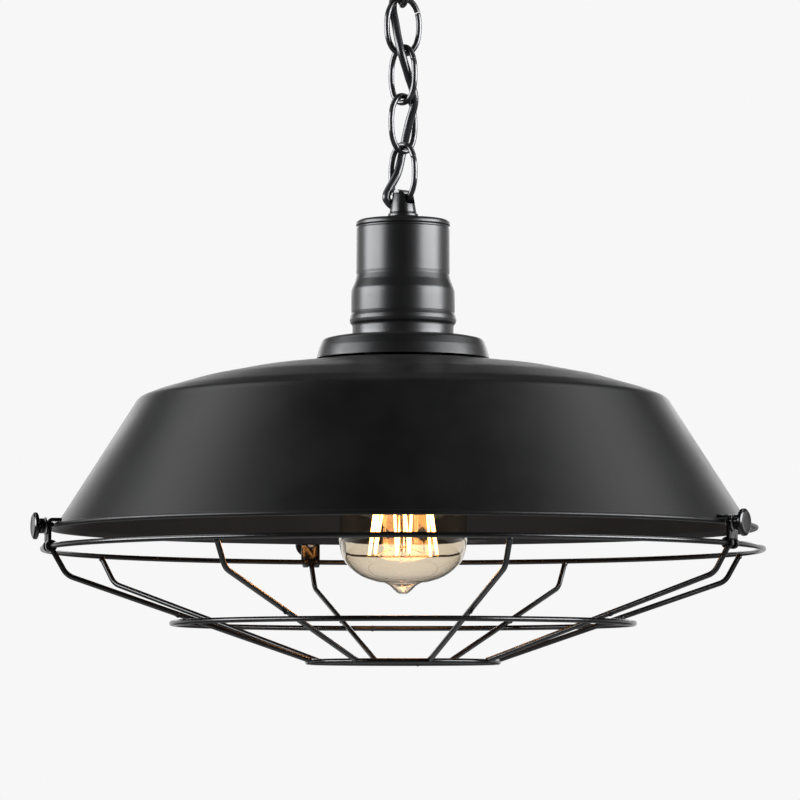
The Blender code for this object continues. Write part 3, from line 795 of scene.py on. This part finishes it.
HANG_BASE_Z = RIM_Z + 155.8 * MM
upper_bell = bell(CANOPY_Z - 0.3 * MM, contacts[0], LINK_TURNS[0] - 90, False)
piece_from("upper_bell", upper_bell, bell_black, "ceiling", "black_satin", "canopy_loop")
lower_bell = bell(HANG_BASE_Z, contacts[5], LINK_TURNS[4] + 90, True)
piece_from("lower_bell", lower_bell, bell_black, "lamp", "black_satin", "hang_loop")

# ----------------------------------------
# Chain: five oval links bent from 3 mm steel wire and plated black. Each link's ends meet in an open butt
# joint on one side, so that it can be sprung over its neighbour.
LINK_HALF_WIDTH = 8.3 * MM  # to the middle of the wire
LINK_BOW = 2.25  # 2 would make each link an ellipse
BUTT_GAP = 0.4 * MM
BUTT_STEP = 5


def chain_material():
    """Black plating: darker and glossier than paint, with a painted highlight of lighter grey on its sharpest
    edges.
    """
    material, tree, shader = new_material("chain_plate", Metallic=0.55, Coat_Weight=0.5, Coat_Roughness=0.08)
    mottle = use_group(
        tree, plate_mottle, Colour=(0.035, 0.035, 0.037, 1), Stain=(0.02, 0.019, 0.018, 1), Roughness=0.2,
        Patch_Scale=260.0
    )
    edge_sheen_mask = use_group(tree, edge_sheen, Amount=0.7).outputs[0]
    # The light grey on the sharpest edges is a painted highlight.
    edge_lit_colour = colour_mix(tree, edge_sheen_mask, mottle.outputs["Colour"], (0.16, 0.155, 0.15, 1))
    feed(tree, shader.inputs, Base_Color=edge_lit_colour, Roughness=mottle.outputs["Roughness"])
    bump(tree, shader, mottle.outputs["Height"], 7e-6)
    return material


chain_plate = chain_material()


def link_path(steps):
    """The link's wire in the XZ plane about the origin: a bowed oval."""
    half_height = CHAIN_PITCH / 2 + 0.15 * MM + CHAIN_WIRE_R
    outline = []
    for step in range(steps):
        turn = 2 * pi * (step + 0.5) / steps
        out, up = (abs(part) ** (2 / LINK_BOW) * (1 if part > 0 else -1) for part in (cos(turn), sin(turn)))
        outline.append(Vector((LINK_HALF_WIDTH * out, 0, half_height * up)))
    return outline


def bent_link():
    """A closed run of wire with a narrow cut across one side for the butt joint, its edges rounded."""
    path = link_path(72)
    ring = tube(path, CHAIN_WIRE_R, 24, closed=True)
    at, along = path[BUTT_STEP], path[BUTT_STEP + 1] - path[BUTT_STEP - 1]
    slit = block((8 * MM, 8 * MM, BUTT_GAP), (0, 0, 0))
    slit.transform(Matrix.Translation(at) @ along.to_track_quat("Z", "Y").to_matrix().to_4x4())
    return eased(carved(ring, [slit]), 0.3 * MM, limit=60, segments=3)


link_mesh = bent_link()
for number, turn in enumerate(LINK_TURNS, 1):
    link = link_mesh.copy()
    link.transform(Matrix.Translation((0, 0, cuts[number - 1])) @ Matrix.Rotation(radians(turn), 4, "Z"))
    piece_from(
        f"link_wire_{number}", link, chain_plate, f"link_{number}", "chain_black", f"chain_link_{number}"
    )

# ----------------------------------------
# Lower nipple and nut: they clamp the cup between the bell outside and the lamp holder inside.
lower_nipple = threaded_tube(
    NIPPLE_BORE_R, NIPPLE_R, RIM_Z + 137.5 * MM, RIM_Z + 157.4 * MM, NIPPLE_PITCH, NIPPLE_THREAD
)
piece_from("lower_nipple", lower_nipple, zinc_plate, "lamp", "zinc", "hang_nipple", sharp=60)
lower_nut = hexagon_nut(RIM_Z + 150.2 * MM, 3.6 * MM, NUT_ACROSS)
piece_from("lower_nut", lower_nut, zinc_plate, "lamp", "zinc", "cup_nut")

# ----------------------------------------
# Cup: a steel cap spun over the lamp holder. A crisp groove runs under its top edge, its side swells below
# the middle, and a rolled bead ends it above a short plain neck that drops into the collar.
CUP_WALL = 1.2 * MM


def above_rim(corners):
    """Corners whose heights are counted from the rim plane."""
    return [(r, z + RIM_Z / MM, rounding) for r, z, rounding in corners]


cup_corners = above_rim([
    (4.3, 155.5, 0), (21.8, 155.5, 1.6), (23.5, 154.4, 0.8), (23.55, 152.9, 0.3), (22.85, 152.35, 0.25),
    (22.85, 151.8, 0.25),
    (23.3, 151.2, 0.4), (23.3, 129.5, 1.5), (23.15, 128.0, 1.0), (23.9, 125.0, 3.5), (25.7, 120.6, 5.0),
    (25.8, 117.0, 5.0),
    (25.8, 109.4, 0.8), (25.65, 108.9, 0.4), (26.3, 107.2, 0.8), (26.6, 105.4, 0.9), (26.3, 104.0, 0.6),
    (25.3, 102.7, 0.5),
    (25.2, 102.0, 0.5), (25.2, 97.3, 0),
])
cup = lathe(walled(softened(cup_corners, steps=5), CUP_WALL), 160, closed=True)
piece_from("spun_cup", cup, spun_black, "lamp", "black_satin", "socket_cup")

# ----------------------------------------
# Collar: a shallow spun step between the cup and the shade, powder coated with them.
collar_corners = above_rim(
    [(21.5, 97.0, 0), (34.5, 96.9, 6), (40.2, 95.6, 3.2), (41.7, 91.5, 3), (43.1, 86.2, 0)]
)
collar = lathe(walled(softened(collar_corners, steps=8), SHEET), 192, closed=True)
piece_from("spun_collar", collar, spun_black, "lamp", "black_satin", "collar")

# ----------------------------------------
# Shade: 0.8 mm steel sheet, spun over a former to a low dome, a tight shoulder and a straight flaring skirt.
# Its rim is turned out and rolled over. It is powder coated satin black inside and out.
ROLL_R = 1.2 * MM
ROLL_CENTRE = Vector((174.9 * MM, RIM_Z + 1.5 * MM))


def arc(centre, radius, start, end, steps):
    """Points (r, z) on an arc, angles in degrees from +r towards +z."""
    turns = [radians(start + (end - start) * step / steps) for step in range(steps + 1)]
    return [Vector((centre[0] + radius * cos(turn), centre[1] + radius * sin(turn))) for turn in turns]


# Its rolled bead and other sharp edges carry the strongest painted highlight of the black paints.
shade_black = black_paint(
    "shade_black", 0.38, gloss=0.29, ring_depth=5e-6, dust=0.06, sheen=0.9, patchiness=0.3, polish=0.24
)
shade_corners = above_rim([
    (21, 85.6, 0), (43, 85.0, 60), (74, 81.2, 90), (100, 76.0, 90), (121, 69.9, 60), (131.6, 65.9, 8),
    (135.2, 60.0, 5),
    (171.4, 3.2, 3), (173.2, 1.1, 1.5), (174.9, 1.1, 0),
])
shade_path = softened(shade_corners, steps=8)[:-1]
shade_path += arc(ROLL_CENTRE, ROLL_R - SHEET, -90, 130, 14)
shade = lathe(walled(shade_path, SHEET), 256, closed=True)
piece_from("spun_shade", shade, shade_black, "lamp", "black_satin", "shade")

# ----------------------------------------
# Lamp holder: a fluted phenolic case and ring that grip the shade between them, a glazed steatite insert with
# its terminals, a rolled brass shell for the bulb's thread and a sprung centre contact.
HOLDER_WALL = 2.2 * MM
FLUTES = 36

steatite_material, steatite_tree, steatite_shader = new_material(
    "steatite", Roughness=0.22, Coat_Weight=0.6, Coat_Roughness=0.06, Subsurface_Weight=0.05
)
glaze = use_group(
    steatite_tree, plate_mottle, Colour=(0.78, 0.75, 0.69, 1), Stain=(0.66, 0.61, 0.52, 1), Patch_Scale=90.0
)
feed(steatite_tree, steatite_shader.inputs, Base_Color=glaze.outputs["Colour"])
bump(steatite_tree, steatite_shader, glaze.outputs["Height"], 5e-6)


def fluted(mesh, depth, inner, low, high):
    """Presses upright finger flutes into a turned piece's outer side."""
    for vertex in mesh.vertices:
        x, y, z = vertex.co
        radius = hypot(x, y)
        if radius > inner and low < z < high:
            turn = Vector((x, y)).angle_signed(Vector((1, 0)), 0.0)
            fade = min(1, (z - low) / (1.5 * MM), (high - z) / (1.5 * MM))
            vertex.co.xy *= (radius - depth * fade * abs(sin(FLUTES / 2 * turn)) ** 3) / radius
    return mesh


cap_corners = above_rim([
    (4.3, 141, 0), (8, 141, 0.8), (8, 131, 1.2), (16, 127.5, 2.0), (19.4, 122, 1.5), (19.4, 119.5, 0)
])
holder_lid = lathe(walled(softened(cap_corners, steps=5), HOLDER_WALL), 96, closed=True)
piece_from("holder_lid", holder_lid, phenolic, "lamp", "phenolic", "holder_cap")
case_corners = above_rim([(19.4, 119.2 - step * 38.7 / 12, 0) for step in range(13)])
holder_case = lathe(walled(softened(case_corners), HOLDER_WALL), 216, closed=True)
fluted(holder_case, 0.5 * MM, 18.9 * MM, RIM_Z + 98 * MM, RIM_Z + 119 * MM)
piece_from("holder_case", holder_case, phenolic, "lamp", "phenolic", "holder_body")

ring_corners = above_rim(
    [(19.9, 84.3, 0.4), (26, 84.3, 0.6), (26, 81.0, 0.8), (24.6, 79.6, 0.8), (19.9, 79.6, 0.4)]
)
clamp_ring = fluted(
    lathe(softened(ring_corners, closed=True), 216, closed=True), 0.5 * MM, 24 * MM, RIM_Z + 79 * MM,
    RIM_Z + 84 * MM
)
piece_from("clamp_ring", clamp_ring, phenolic, "lamp", "phenolic", "shade_ring")

insert_corners = above_rim([(0, 118, 0), (16, 118, 0.9), (16, 113.6, 0.6), (0, 113.6, 0)])
piece_from(
    "holder_insert", lathe(softened(insert_corners), 96), steatite_material, "lamp", "ceramic",
    "terminal_insert"
)

LAMP_PITCH = 3.629 * MM


def rolled_thread(outer_r, wall, low, high, depth, top_corners=()):
    """A thin tube with a coarse round thread rolled through its wall."""
    rows = int((high - low) / LAMP_PITCH * 14)
    side = [Vector((outer_r, high - (high - low) * step / rows)) for step in range(rows + 1)]
    path = [*softened([*top_corners, (outer_r / MM, high / MM, 0)], steps=5)[:-1], *side]
    shell = lathe(walled(path, wall), 96, closed=True)
    return cut_thread(
        shell, LAMP_PITCH, depth, low, high, outer_r - 1.2 * MM, outer_r + 0.2 * MM, LAMP_PITCH * 0.8
    )


threaded_shell = rolled_thread(14.7 * MM, 0.5 * MM, RIM_Z + 84 * MM, RIM_Z + 113.2 * MM, 0.65 * MM)
piece_from("threaded_shell", threaded_shell, brass, "lamp", "brass", "screw_shell", sharp=70)

leaf_corners = above_rim(
    [(0, 113.3, 0), (4.9, 113.3, 0.5), (5.6, 112.7, 0.3), (4.6, 112.2, 0.8), (1.6, 112.5, 1.0), (0, 112.4, 0)]
)
piece_from(
    "contact_leaf", lathe(softened(leaf_corners, steps=4), 48), brass, "lamp", "brass", "centre_contact"
)

# ----------------------------------------
# Bulb: a pear-shaped blown envelope of amber glass with its pip at the bottom. Light from the strand passes
# it, so the surface lets lamp rays through while the eye sees real glass with a real wall.
GLASS_WALL = 0.8 * MM


def glass_material(name, colour, roughness):
    """Glass with faint waves. Rays from lamps pass it tinted and the rest refract."""
    material, tree, shader = new_material(
        name, Base_Color=colour, Roughness=roughness, IOR=1.5, Transmission_Weight=1.0, Metallic=0.0
    )
    bump(tree, shader, clouds(tree, 60.0, 2.0, on_object(tree)), 60e-6)
    tint = shade_node(tree, "BsdfTransparent", {"Color": colour})
    lamp_ray = shade_node(tree, "LightPath").outputs["Is Shadow Ray"]
    either = shade_node(tree, "MixShader", {"Fac": lamp_ray, 1: shader.outputs[0], 2: tint.outputs[0]})
    feed(tree, tree.nodes["Material Output"].inputs, Surface=either.outputs[0])
    return material


amber_glass = glass_material("amber_glass_blown", (0.90, 0.82, 0.70, 1), 0.0)
clear_glass = glass_material("clear_glass_drawn", (0.96, 0.97, 0.95, 1), 0.02)

pear_points = [
    (12.2, 92), (12.4, 84), (13.4, 78), (17, 65), (22.6, 48), (28, 30), (31.2, 15), (32, 2), (31.8, -5),
    (29.7, -13.6),
    (25, -19.2), (19.4, -22.8), (13, -24.9), (9, -25.6), (6.4, -27.0), (4.4, -29.0), (2.2, -30.7), (0, -31),
]
pear_route = smooth_route([Vector((r * MM, z * MM + RIM_Z, 0)) for r, z in pear_points], 6)
pear_path = [Vector((max(point.x, 0.0), point.y)) for point in pear_route]
pear_path[-1].x = 0.0
pear_outline = walled(pear_path, GLASS_WALL)
outer_count = len(pear_path)
inner_path = pear_outline[outer_count:]
inner_path[0].x = 0.0
pear_glass = lathe([*inner_path, *pear_path], 144)
piece_from("pear_glass", pear_glass, amber_glass, "bulb", "amber_glass", "bulb_glass", sharp=60)

# ----------------------------------------
# Bulb cap: thin brass with the thread rolled into it, a black glass insulator and a soldered tip.
cap_top = [(9, 109 + RIM_Z / MM, 0), (11.2, 108.2 + RIM_Z / MM, 1.0), (12.7, 106.2 + RIM_Z / MM, 1.2)]
cap = rolled_thread(13.3 * MM, 0.25 * MM, RIM_Z + 84.5 * MM, RIM_Z + 105 * MM, 0.7 * MM, cap_top)
piece_from("threaded_cap", cap, brass, "bulb", "brass", "bulb_cap", sharp=70)

black_glass, black_glass_tree, black_glass_shader = new_material("black_glass", Specular_IOR_Level=0.6)
seed = clouds(black_glass_tree, 900.0, 3.0)
feed(
    black_glass_tree, black_glass_shader.inputs, Roughness=ramp(black_glass_tree, seed, 0.0, 1.0, 0.05, 0.2),
    Base_Color=colour_mix(black_glass_tree, seed, (0.006, 0.006, 0.009, 1), (0.022, 0.02, 0.028, 1)),
)
insulator_corners = above_rim(
    [(0, 110.6, 0), (5, 110.6, 0.8), (8.6, 109, 0.8), (8.6, 107.4, 0.3), (0, 107.4, 0)]
)
piece_from(
    "cap_insulator", lathe(softened(insulator_corners), 64), black_glass, "bulb", "phenolic", "bulb_insulator"
)

solder = plated_metal(
    "solder", (0.62, 0.62, 0.64, 1), (0.4, 0.4, 0.42, 1), 0.3, patch_scale=400.0, tooth_depth=14e-6
)
tip_corners = above_rim(
    [(0, 111.85, 0), (2.4, 111.8, 2.0), (4.2, 111.0, 0.4), (4.3, 110.9, 0), (0, 110.9, 0)]
)
piece_from("tip_solder", lathe(softened(tip_corners), 48), solder, "bulb_travel", "brass", "bulb_tip_contact")

# ----------------------------------------
# Stem, strand and hooks: a clear glass stem holds two spiders of fine wire hooks, and one long carbon strand
# runs up and down between them, twelve times round. Lit, the strand is nearly white.
FILAMENT_HOOKS = 12
FILAMENT_START = 145  # degrees, so that a foot hook stands a little right of the front
STRAND_TURN = 1.2 * MM
FILAMENT_TOP = (9.5, 50)
FILAMENT_FOOT = (18.0, -12)
STRAND_R = 0.62 * MM
HOOK_R = 0.16 * MM
LEAD_R = 0.22 * MM
GLOW_STRENGTH = 16.0

stem_corners = above_rim([
    (0, 91, 0), (10.6, 91, 0.5), (10.6, 88, 4), (4.4, 78, 6), (3.6, 58, 3), (2.0, 52, 3), (1.6, -7, 2),
    (2.2, -9, 1), (0, -10, 0),
])
piece_from(
    "glass_stem", lathe(softened(stem_corners, steps=8), 64), clear_glass, "bulb", "clear_glass", "bulb_stem",
    sharp=60
)


def polar(radius, azimuth, z):
    """The point at this radius and azimuth about the lamp's axis."""
    turn = radians(azimuth)
    return Vector((radius * sin(turn), -radius * cos(turn), z))


def strand_end(hook, inset=0.0):
    """Where the strand turns over its hooks, the even ones at the top and the odd ones at the foot."""
    radius, z = (FILAMENT_TOP, FILAMENT_FOOT)[hook % 2]
    return polar((radius - inset) * MM, FILAMENT_START + 360 * (hook + 0.5) / FILAMENT_HOOKS, RIM_Z + z * MM)


def strand_route(steps=16):
    """The strand's zigzag with a small round turn over each hook."""
    ends = [strand_end(hook) for hook in range(FILAMENT_HOOKS)]
    route = [ends[0]]
    for before, end, after in zip(ends, ends[1:], ends[2:] + [None]):
        if after is None:
            route.append(end)
            continue
        back = (before - end).normalized() * STRAND_TURN
        on = (after - end).normalized() * STRAND_TURN
        first = [route[-1].lerp(end + back, step / steps) for step in range(1, steps + 1)]
        route += first + [end + back * 0.35 + on * 0.1, end + back * 0.1 + on * 0.35, end + on]
    return route


glow_material, glow_tree, glow_shader = new_material(
    "lit_carbon", Roughness=0.6, Emission_Strength=GLOW_STRENGTH
)
grain = clouds(glow_tree, 700.0, 2.0)
feed(
    glow_tree, glow_shader.inputs,
    Emission_Color=colour_mix(glow_tree, grain, (1.0, 0.40, 0.08, 1), (1.0, 0.62, 0.22, 1)),
    Base_Color=colour_mix(glow_tree, grain, (0.10, 0.05, 0.02, 1), (0.2, 0.1, 0.04, 1)),
)
glow_material.cycles.emission_sampling = "NONE"
strand = tube(strand_route(), STRAND_R, 10)
piece_from("glowing_strand", strand, glow_material, "bulb", "filament", "filament", sharp=0)

hooks = []
for hook in range(FILAMENT_HOOKS):
    tip = strand_end(hook)
    down = 1 if hook % 2 else -1
    root = Vector((tip.x * 0.09, tip.y * 0.09, tip.z + 4 * down * MM))
    knee = Vector((tip.x * 0.5, tip.y * 0.5, tip.z + 2.6 * down * MM))
    curl = tip + Vector((tip.x * 0.05, tip.y * 0.05, 1.2 * down * MM))
    hooks.append(tube(smooth_route([root, knee, tip - Vector((0, 0, 0.5 * down * MM)), curl], 5), HOOK_R, 8))
for side in (-1, 1):
    lead = [Vector((side * 3.0 * MM, 0, RIM_Z + 86 * MM)), Vector((side * 4.6 * MM, 0, RIM_Z + 70 * MM)),
            Vector((side * 4.6 * MM, 3 * MM, RIM_Z + 58 * MM)), polar(9.3 * MM, 160, RIM_Z + 50.6 * MM)]
    hooks.append(tube(smooth_route(lead, 6), LEAD_R, 8))
hook_wire = plated_metal(
    "hook_wire", (0.35, 0.33, 0.31, 1), (0.2, 0.16, 0.12, 1), 0.4, patch_scale=500.0, tooth_depth=3e-6
)
piece_from("strand_hooks", joined(hooks), hook_wire, "bulb", "zinc", sharp=0)

# ----------------------------------------
# Cage: rings and spokes of 2.7 mm steel wire, spot welded and dip painted black. The spokes drop from under
# the top ring, bend inwards and cross the middle ring on their way to the bottom ring.
CAGE_WIRE_R = 1.35 * MM
TOP_RING = (178.4 * MM, RIM_Z - 9 * MM)
MIDDLE_RING = (114.5 * MM, RIM_Z - 45.6 * MM)
BOTTOM_RING = (47.3 * MM, RIM_Z - 64.7 * MM)
SPOKE_BEND = (170 * MM, RIM_Z - 23.2 * MM)
SPOKE_BEND_R = 9 * MM
SPOKE_COUNT = 8
FIRST_SPOKE = 16

wire_black = black_paint("wire_black", 0.22, peel_depth=7e-6, sheen=0.5, dust=0.03, patchiness=0.4)


def weld(place, size, seed):
    """A small uneven bead where two wires are welded."""

    def make(bm):
        bmesh.ops.create_icosphere(bm, subdivisions=3, radius=1)
        for vertex in bm.verts:
            swell = 1 + 0.16 * noise.noise(vertex.co * 1.7 + Vector((seed * 3.1, 0, 0)))
            vertex.co = Vector(vertex.co * size) * swell + place

    return mesh_from(make)


for label, (radius, z), steps, weld_azimuth in (
    ("top", TOP_RING, 256, 173), ("middle", MIDDLE_RING, 192, 188), ("bottom", BOTTOM_RING, 128, 171)
):
    ring = tube([polar(radius, 360 * step / steps, z) for step in range(steps)], CAGE_WIRE_R, 20, closed=True)
    seam = weld(polar(radius, weld_azimuth, z), CAGE_WIRE_R * 1.12, weld_azimuth)
    ring_piece = joined([ring, seam], f"ring_{label}")
    piece_from(
        f"ring_wire_{label}", ring_piece, wire_black, "cage", "black_wire", f"cage_{label}_ring", sharp=60
    )

spoke_corners = [
    (TOP_RING[0] / MM - 0.9, TOP_RING[1] / MM - 1.3, 0),
    (SPOKE_BEND[0] / MM, SPOKE_BEND[1] / MM, SPOKE_BEND_R / MM),
    (BOTTOM_RING[0] / MM + 0.6, BOTTOM_RING[1] / MM + 0.75, 0),
]
spoke_path = softened(spoke_corners, steps=12)
middle_share = (MIDDLE_RING[0] - spoke_path[-1].x) / (spoke_path[-2].x - spoke_path[-1].x)
middle_cross = spoke_path[-1].lerp(spoke_path[-2], middle_share)
for number in range(SPOKE_COUNT):
    azimuth = FIRST_SPOKE + 360 * number / SPOKE_COUNT
    wire = tube([polar(r, azimuth, z) for r, z in spoke_path], CAGE_WIRE_R, 20)
    beads = [
        weld(polar(TOP_RING[0] - 0.9 * MM, azimuth, TOP_RING[1] - 1.4 * MM), CAGE_WIRE_R * 1.18, number),
        weld(polar(middle_cross.x, azimuth, middle_cross.y - 0.2 * MM), CAGE_WIRE_R * 1.12, number + 20),
        weld(
            polar(BOTTOM_RING[0] + 0.5 * MM, azimuth, BOTTOM_RING[1] + 0.7 * MM), CAGE_WIRE_R * 1.15,
            number + 40
        ),
    ]
    spoke = joined([wire, *beads], f"spoke_{number + 1}")
    piece_from(
        f"spoke_wire_{number + 1}", spoke, wire_black, "cage", "black_wire", f"cage_spoke_{number + 1}",
        sharp=60
    )

# ----------------------------------------
# Rim straps: three short steel straps. Two fingers at the foot of each are wrapped round the cage's top ring
# beside a spoke. The top is bent inwards as a hook that hangs on the shade's bead, over the thumb screw's
# hole.
BRACKET_AZIMUTHS = [286, 61, 196]
HOOK_Z = RIM_Z + 3.0 * MM  # the hook's underside
HOOK_INNER_R = 173.6 * MM
STUD_R = 2.0 * MM
SCREW_Z = HOOK_Z - 0.3 * MM - STUD_R
PLATE_R = 178.7 * MM
PLATE_T = 1.5 * MM
PLATE_WIDTH = 10 * MM
FINGER_R = 2.85 * MM


def strap_mesh():
    """A strap as it stands towards +X, before it is turned to its place."""
    ring_z = TOP_RING[1]
    outer, top, foot = PLATE_R + PLATE_T, HOOK_Z + PLATE_T, ring_z + 0.8 * MM
    corners = [
        (PLATE_R, foot, 0), (PLATE_R, HOOK_Z, 0.6 * MM), (HOOK_INNER_R, HOOK_Z, 0),
        (HOOK_INNER_R, top, 0.3 * MM),
        (outer, top, 2.0 * MM), (outer, foot, 0),
    ]
    side_view = softened([tuple(part / MM for part in corner) for corner in corners], closed=True)

    def make(bm):
        near = [bm.verts.new((r, -PLATE_WIDTH / 2, z)) for r, z in side_view]
        far = [bm.verts.new((r, PLATE_WIDTH / 2, z)) for r, z in side_view]
        bm.faces.new(near)
        bm.faces.new(far[::-1])
        for here, there in zip(range(len(near)), [*range(1, len(near)), 0]):
            bm.faces.new((near[here], far[here], far[there], near[there]))
        bmesh.ops.recalc_face_normals(bm, faces=bm.faces)

    flat = mesh_from(make)
    fingers = [
        rod(
            FINGER_R, (TOP_RING[0], side * 1.75 * MM, ring_z), (TOP_RING[0], side * 4.2 * MM, ring_z), 40
        ) for side in (-1, 1)
    ]
    flat = carved(flat, fingers, "UNION")
    ring_way = rod(CAGE_WIRE_R + 0.08 * MM, (TOP_RING[0], -9 * MM, ring_z), (TOP_RING[0], 9 * MM, ring_z), 40)
    screw_way = rod(STUD_R + 0.2 * MM, (PLATE_R - 5 * MM, 0, SCREW_Z), (PLATE_R + 5 * MM, 0, SCREW_Z), 40)
    return eased(carved(flat, [ring_way, screw_way]), 0.2 * MM, limit=50)


for number, azimuth in enumerate(BRACKET_AZIMUTHS, 1):
    mesh = strap_mesh()
    mesh.transform(Matrix.Rotation(radians(azimuth - 90), 4, "Z"))
    piece_from(f"rim_strap_{number}", mesh, wire_black, "cage", "black_wire", f"rim_bracket_{number}")

# ----------------------------------------
# Thumb screws: a zinc washer, a threaded stud whose point bears on the shade's bead, and a black finger knob
# with a slightly dished face.
WASHER_R = PLATE_R + PLATE_T + 0.3 * MM
KNOB_R = WASHER_R + 1.1 * MM
STUD_TIP_R = ROLL_CENTRE.x + ROLL_R + 0.3 * MM
STUD_PITCH = 0.7 * MM


def on_screw_axis(mesh, azimuth):
    """Turns a piece made about +Z, its heights the distance from the lamp's axis, onto a screw's axis."""
    lie = Matrix.Translation((0, 0, SCREW_Z)) @ Matrix.Rotation(pi / 2, 4, "Y")
    mesh.transform(Matrix.Rotation(radians(azimuth - 90), 4, "Z") @ lie)
    return mesh


def stud_mesh():
    end = KNOB_R + 3 * MM
    low, high = STUD_TIP_R + 0.8 * MM, end - 0.3 * MM
    rows = int((high - low) / STUD_PITCH * 7)
    side = [(STUD_R, high - (high - low) * step / rows) for step in range(rows + 1)]
    profile = [
        (0, end), (STUD_R - 0.3 * MM, end), *side, (1.3 * MM, STUD_TIP_R + 0.1 * MM), (1.0 * MM, STUD_TIP_R),
        (0, STUD_TIP_R)
    ]
    return cut_thread(lathe(profile, 36), STUD_PITCH, 0.32 * MM, low, high, 1.9 * MM, 2.1 * MM)


knob_base = KNOB_R / MM
knob_corners = [
    (0, knob_base + 5.2, 0), (3.4, knob_base + 5.25, 3), (5.2, knob_base + 5.6, 1.2),
    (6.6, knob_base + 4.9, 0.8),
    (6.6, knob_base + 3.3, 0.6), (5.4, knob_base + 2.9, 1.0), (3.7, knob_base + 2.5, 0.8),
    (3.7, knob_base, 0.3),
    (2.3, knob_base, 0), (2.3, knob_base + 3.3, 0), (0, knob_base + 3.3, 0),
]
washer_corners = [
    (2.3, WASHER_R / MM + 0.8, 0.15), (
        4.2, WASHER_R / MM + 0.8, 0.25
    ), (4.2, WASHER_R / MM, 0.1), (2.3, WASHER_R / MM, 0.1),
]
for number, azimuth in enumerate(BRACKET_AZIMUTHS, 1):
    washer = on_screw_axis(lathe(softened(washer_corners, closed=True, steps=3), 64, closed=True), azimuth)
    piece_from(f"plain_washer_{number}", washer, zinc_plate, "cage", "zinc", f"screw_washer_{number}")
    stud = on_screw_axis(stud_mesh(), azimuth)
    piece_from(
        f"threaded_stud_{number}", stud, zinc_plate, f"stud_{number}", "zinc", f"screw_stud_{number}",
        sharp=60
    )
    knob = on_screw_axis(lathe(softened(knob_corners, steps=5), 72), azimuth)
    piece_from(
        f"finger_knob_{number}", knob, wire_black, f"knob_{number}", "black_wire", f"thumb_knob_{number}"
    )

# ----------------------------------------
# Room: a plain pale floor, a pale surround, tall soft boxes to the left and right, and the lit bulb itself.
FLOOR_Z = -1.9
PALE = 0.93

floor_material, floor_tree, floor_shader = new_material("pale_floor", Roughness=0.85)
floor_grain = clouds(floor_tree, 3.0, 5.0)
floor_colour = colour_mix(floor_tree, floor_grain, (0.56, 0.56, 0.56, 1), (0.60, 0.60, 0.60, 1))
feed(floor_tree, floor_shader.inputs, Base_Color=floor_colour)
floor_mesh = mesh_from(lambda bm: bmesh.ops.create_circle(bm, cap_ends=True, segments=96, radius=9))
floor = bpy.data.objects.new("floor", floor_mesh)
floor.location.z = FLOOR_Z
floor_mesh.materials.append(floor_material)
bpy.context.scene.collection.objects.link(floor)


def surround():
    """Pale where it is seen directly or through glass; what it lights is dim in front and brighter behind."""
    world = bpy.data.worlds.new("surround")
    bpy.context.scene.world = world
    world.use_nodes = True
    tree = world.node_tree
    tree.nodes.clear()
    toward = shade_node(tree, "SeparateXYZ", {0: shade_node(tree, "TexCoord").outputs["Generated"]}).outputs
    lit = maths(
        tree, "MULTIPLY", ramp(tree, toward["Y"], 0.1, 0.8, 0.03, 0.8), ramp(
            tree, toward["Z"], 0.16, 0.32, 1.0, 0.07
        )
    )
    path = shade_node(tree, "LightPath").outputs
    seen = maths(tree, "MAXIMUM", path["Is Camera Ray"], path["Is Transmission Ray"])
    level = shade_node(tree, "Mix", {0: seen, 2: lit, 3: PALE})
    light = shade_node(tree, "Background", {"Color": (1, 1, 1, 1), "Strength": level.outputs[0]})
    feed(tree, tree.nodes.new("ShaderNodeOutputWorld").inputs, Surface=light.outputs[0])


surround()


def soft_box(name, azimuth, elevation, distance, size, radiance, tint=(1, 1, 1)):
    """A rectangle of light that faces the shade."""
    data = bpy.data.lights.new(name, "AREA")
    data.shape = "RECTANGLE"
    data.size, data.size_y = size
    data.energy = radiance * size[0] * size[1] * pi
    data.color = tint
    box = bpy.data.objects.new(name, data)
    target = Vector((0, 0, RIM_Z + 60 * MM))
    level = cos(radians(elevation)) * distance
    box.location = target + polar(level, azimuth, sin(radians(elevation)) * distance)
    box.rotation_euler = (target - box.location).to_track_quat("-Z", "Y").to_euler()
    box.visible_camera = False
    box.visible_transmission = False
    bpy.context.scene.collection.objects.link(box)
    return box


soft_box("left_box", -78, 13, 1.8, (1.85, 0.8), 13.8, (0.96, 0.97, 1.0))
soft_box("right_box", 70, 13, 1.8, (1.70, 0.8), 17.6, (0.96, 0.97, 1.0))
soft_box("left_high", -114, 47, 2.2, (1.3, 1.0), 2.3)
soft_box("right_high", 108, 47, 2.2, (1.3, 1.0), 2.1)
soft_box("front_low", 0, -25, 2.6, (2.4, 0.9), 0.08)
soft_box("behind_high", 180, 14, 2.2, (2.4, 0.45), 2.2)

bulb_light = bpy.data.objects.new("bulb_light", bpy.data.lights.new("bulb_light", "POINT"))
bulb_light.data.energy = 0.9
bulb_light.data.color = (1.0, 0.45, 0.16)
bulb_light.data.shadow_soft_size = 14 * MM
bulb_light.location = (0, 0, RIM_Z + 12 * MM)
bulb_light.visible_camera = False
bulb_light.visible_transmission = False
bpy.context.scene.collection.objects.link(bulb_light)
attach(bulb_light, "bulb")

bpy.context.scene.view_settings.view_transform = "Standard"
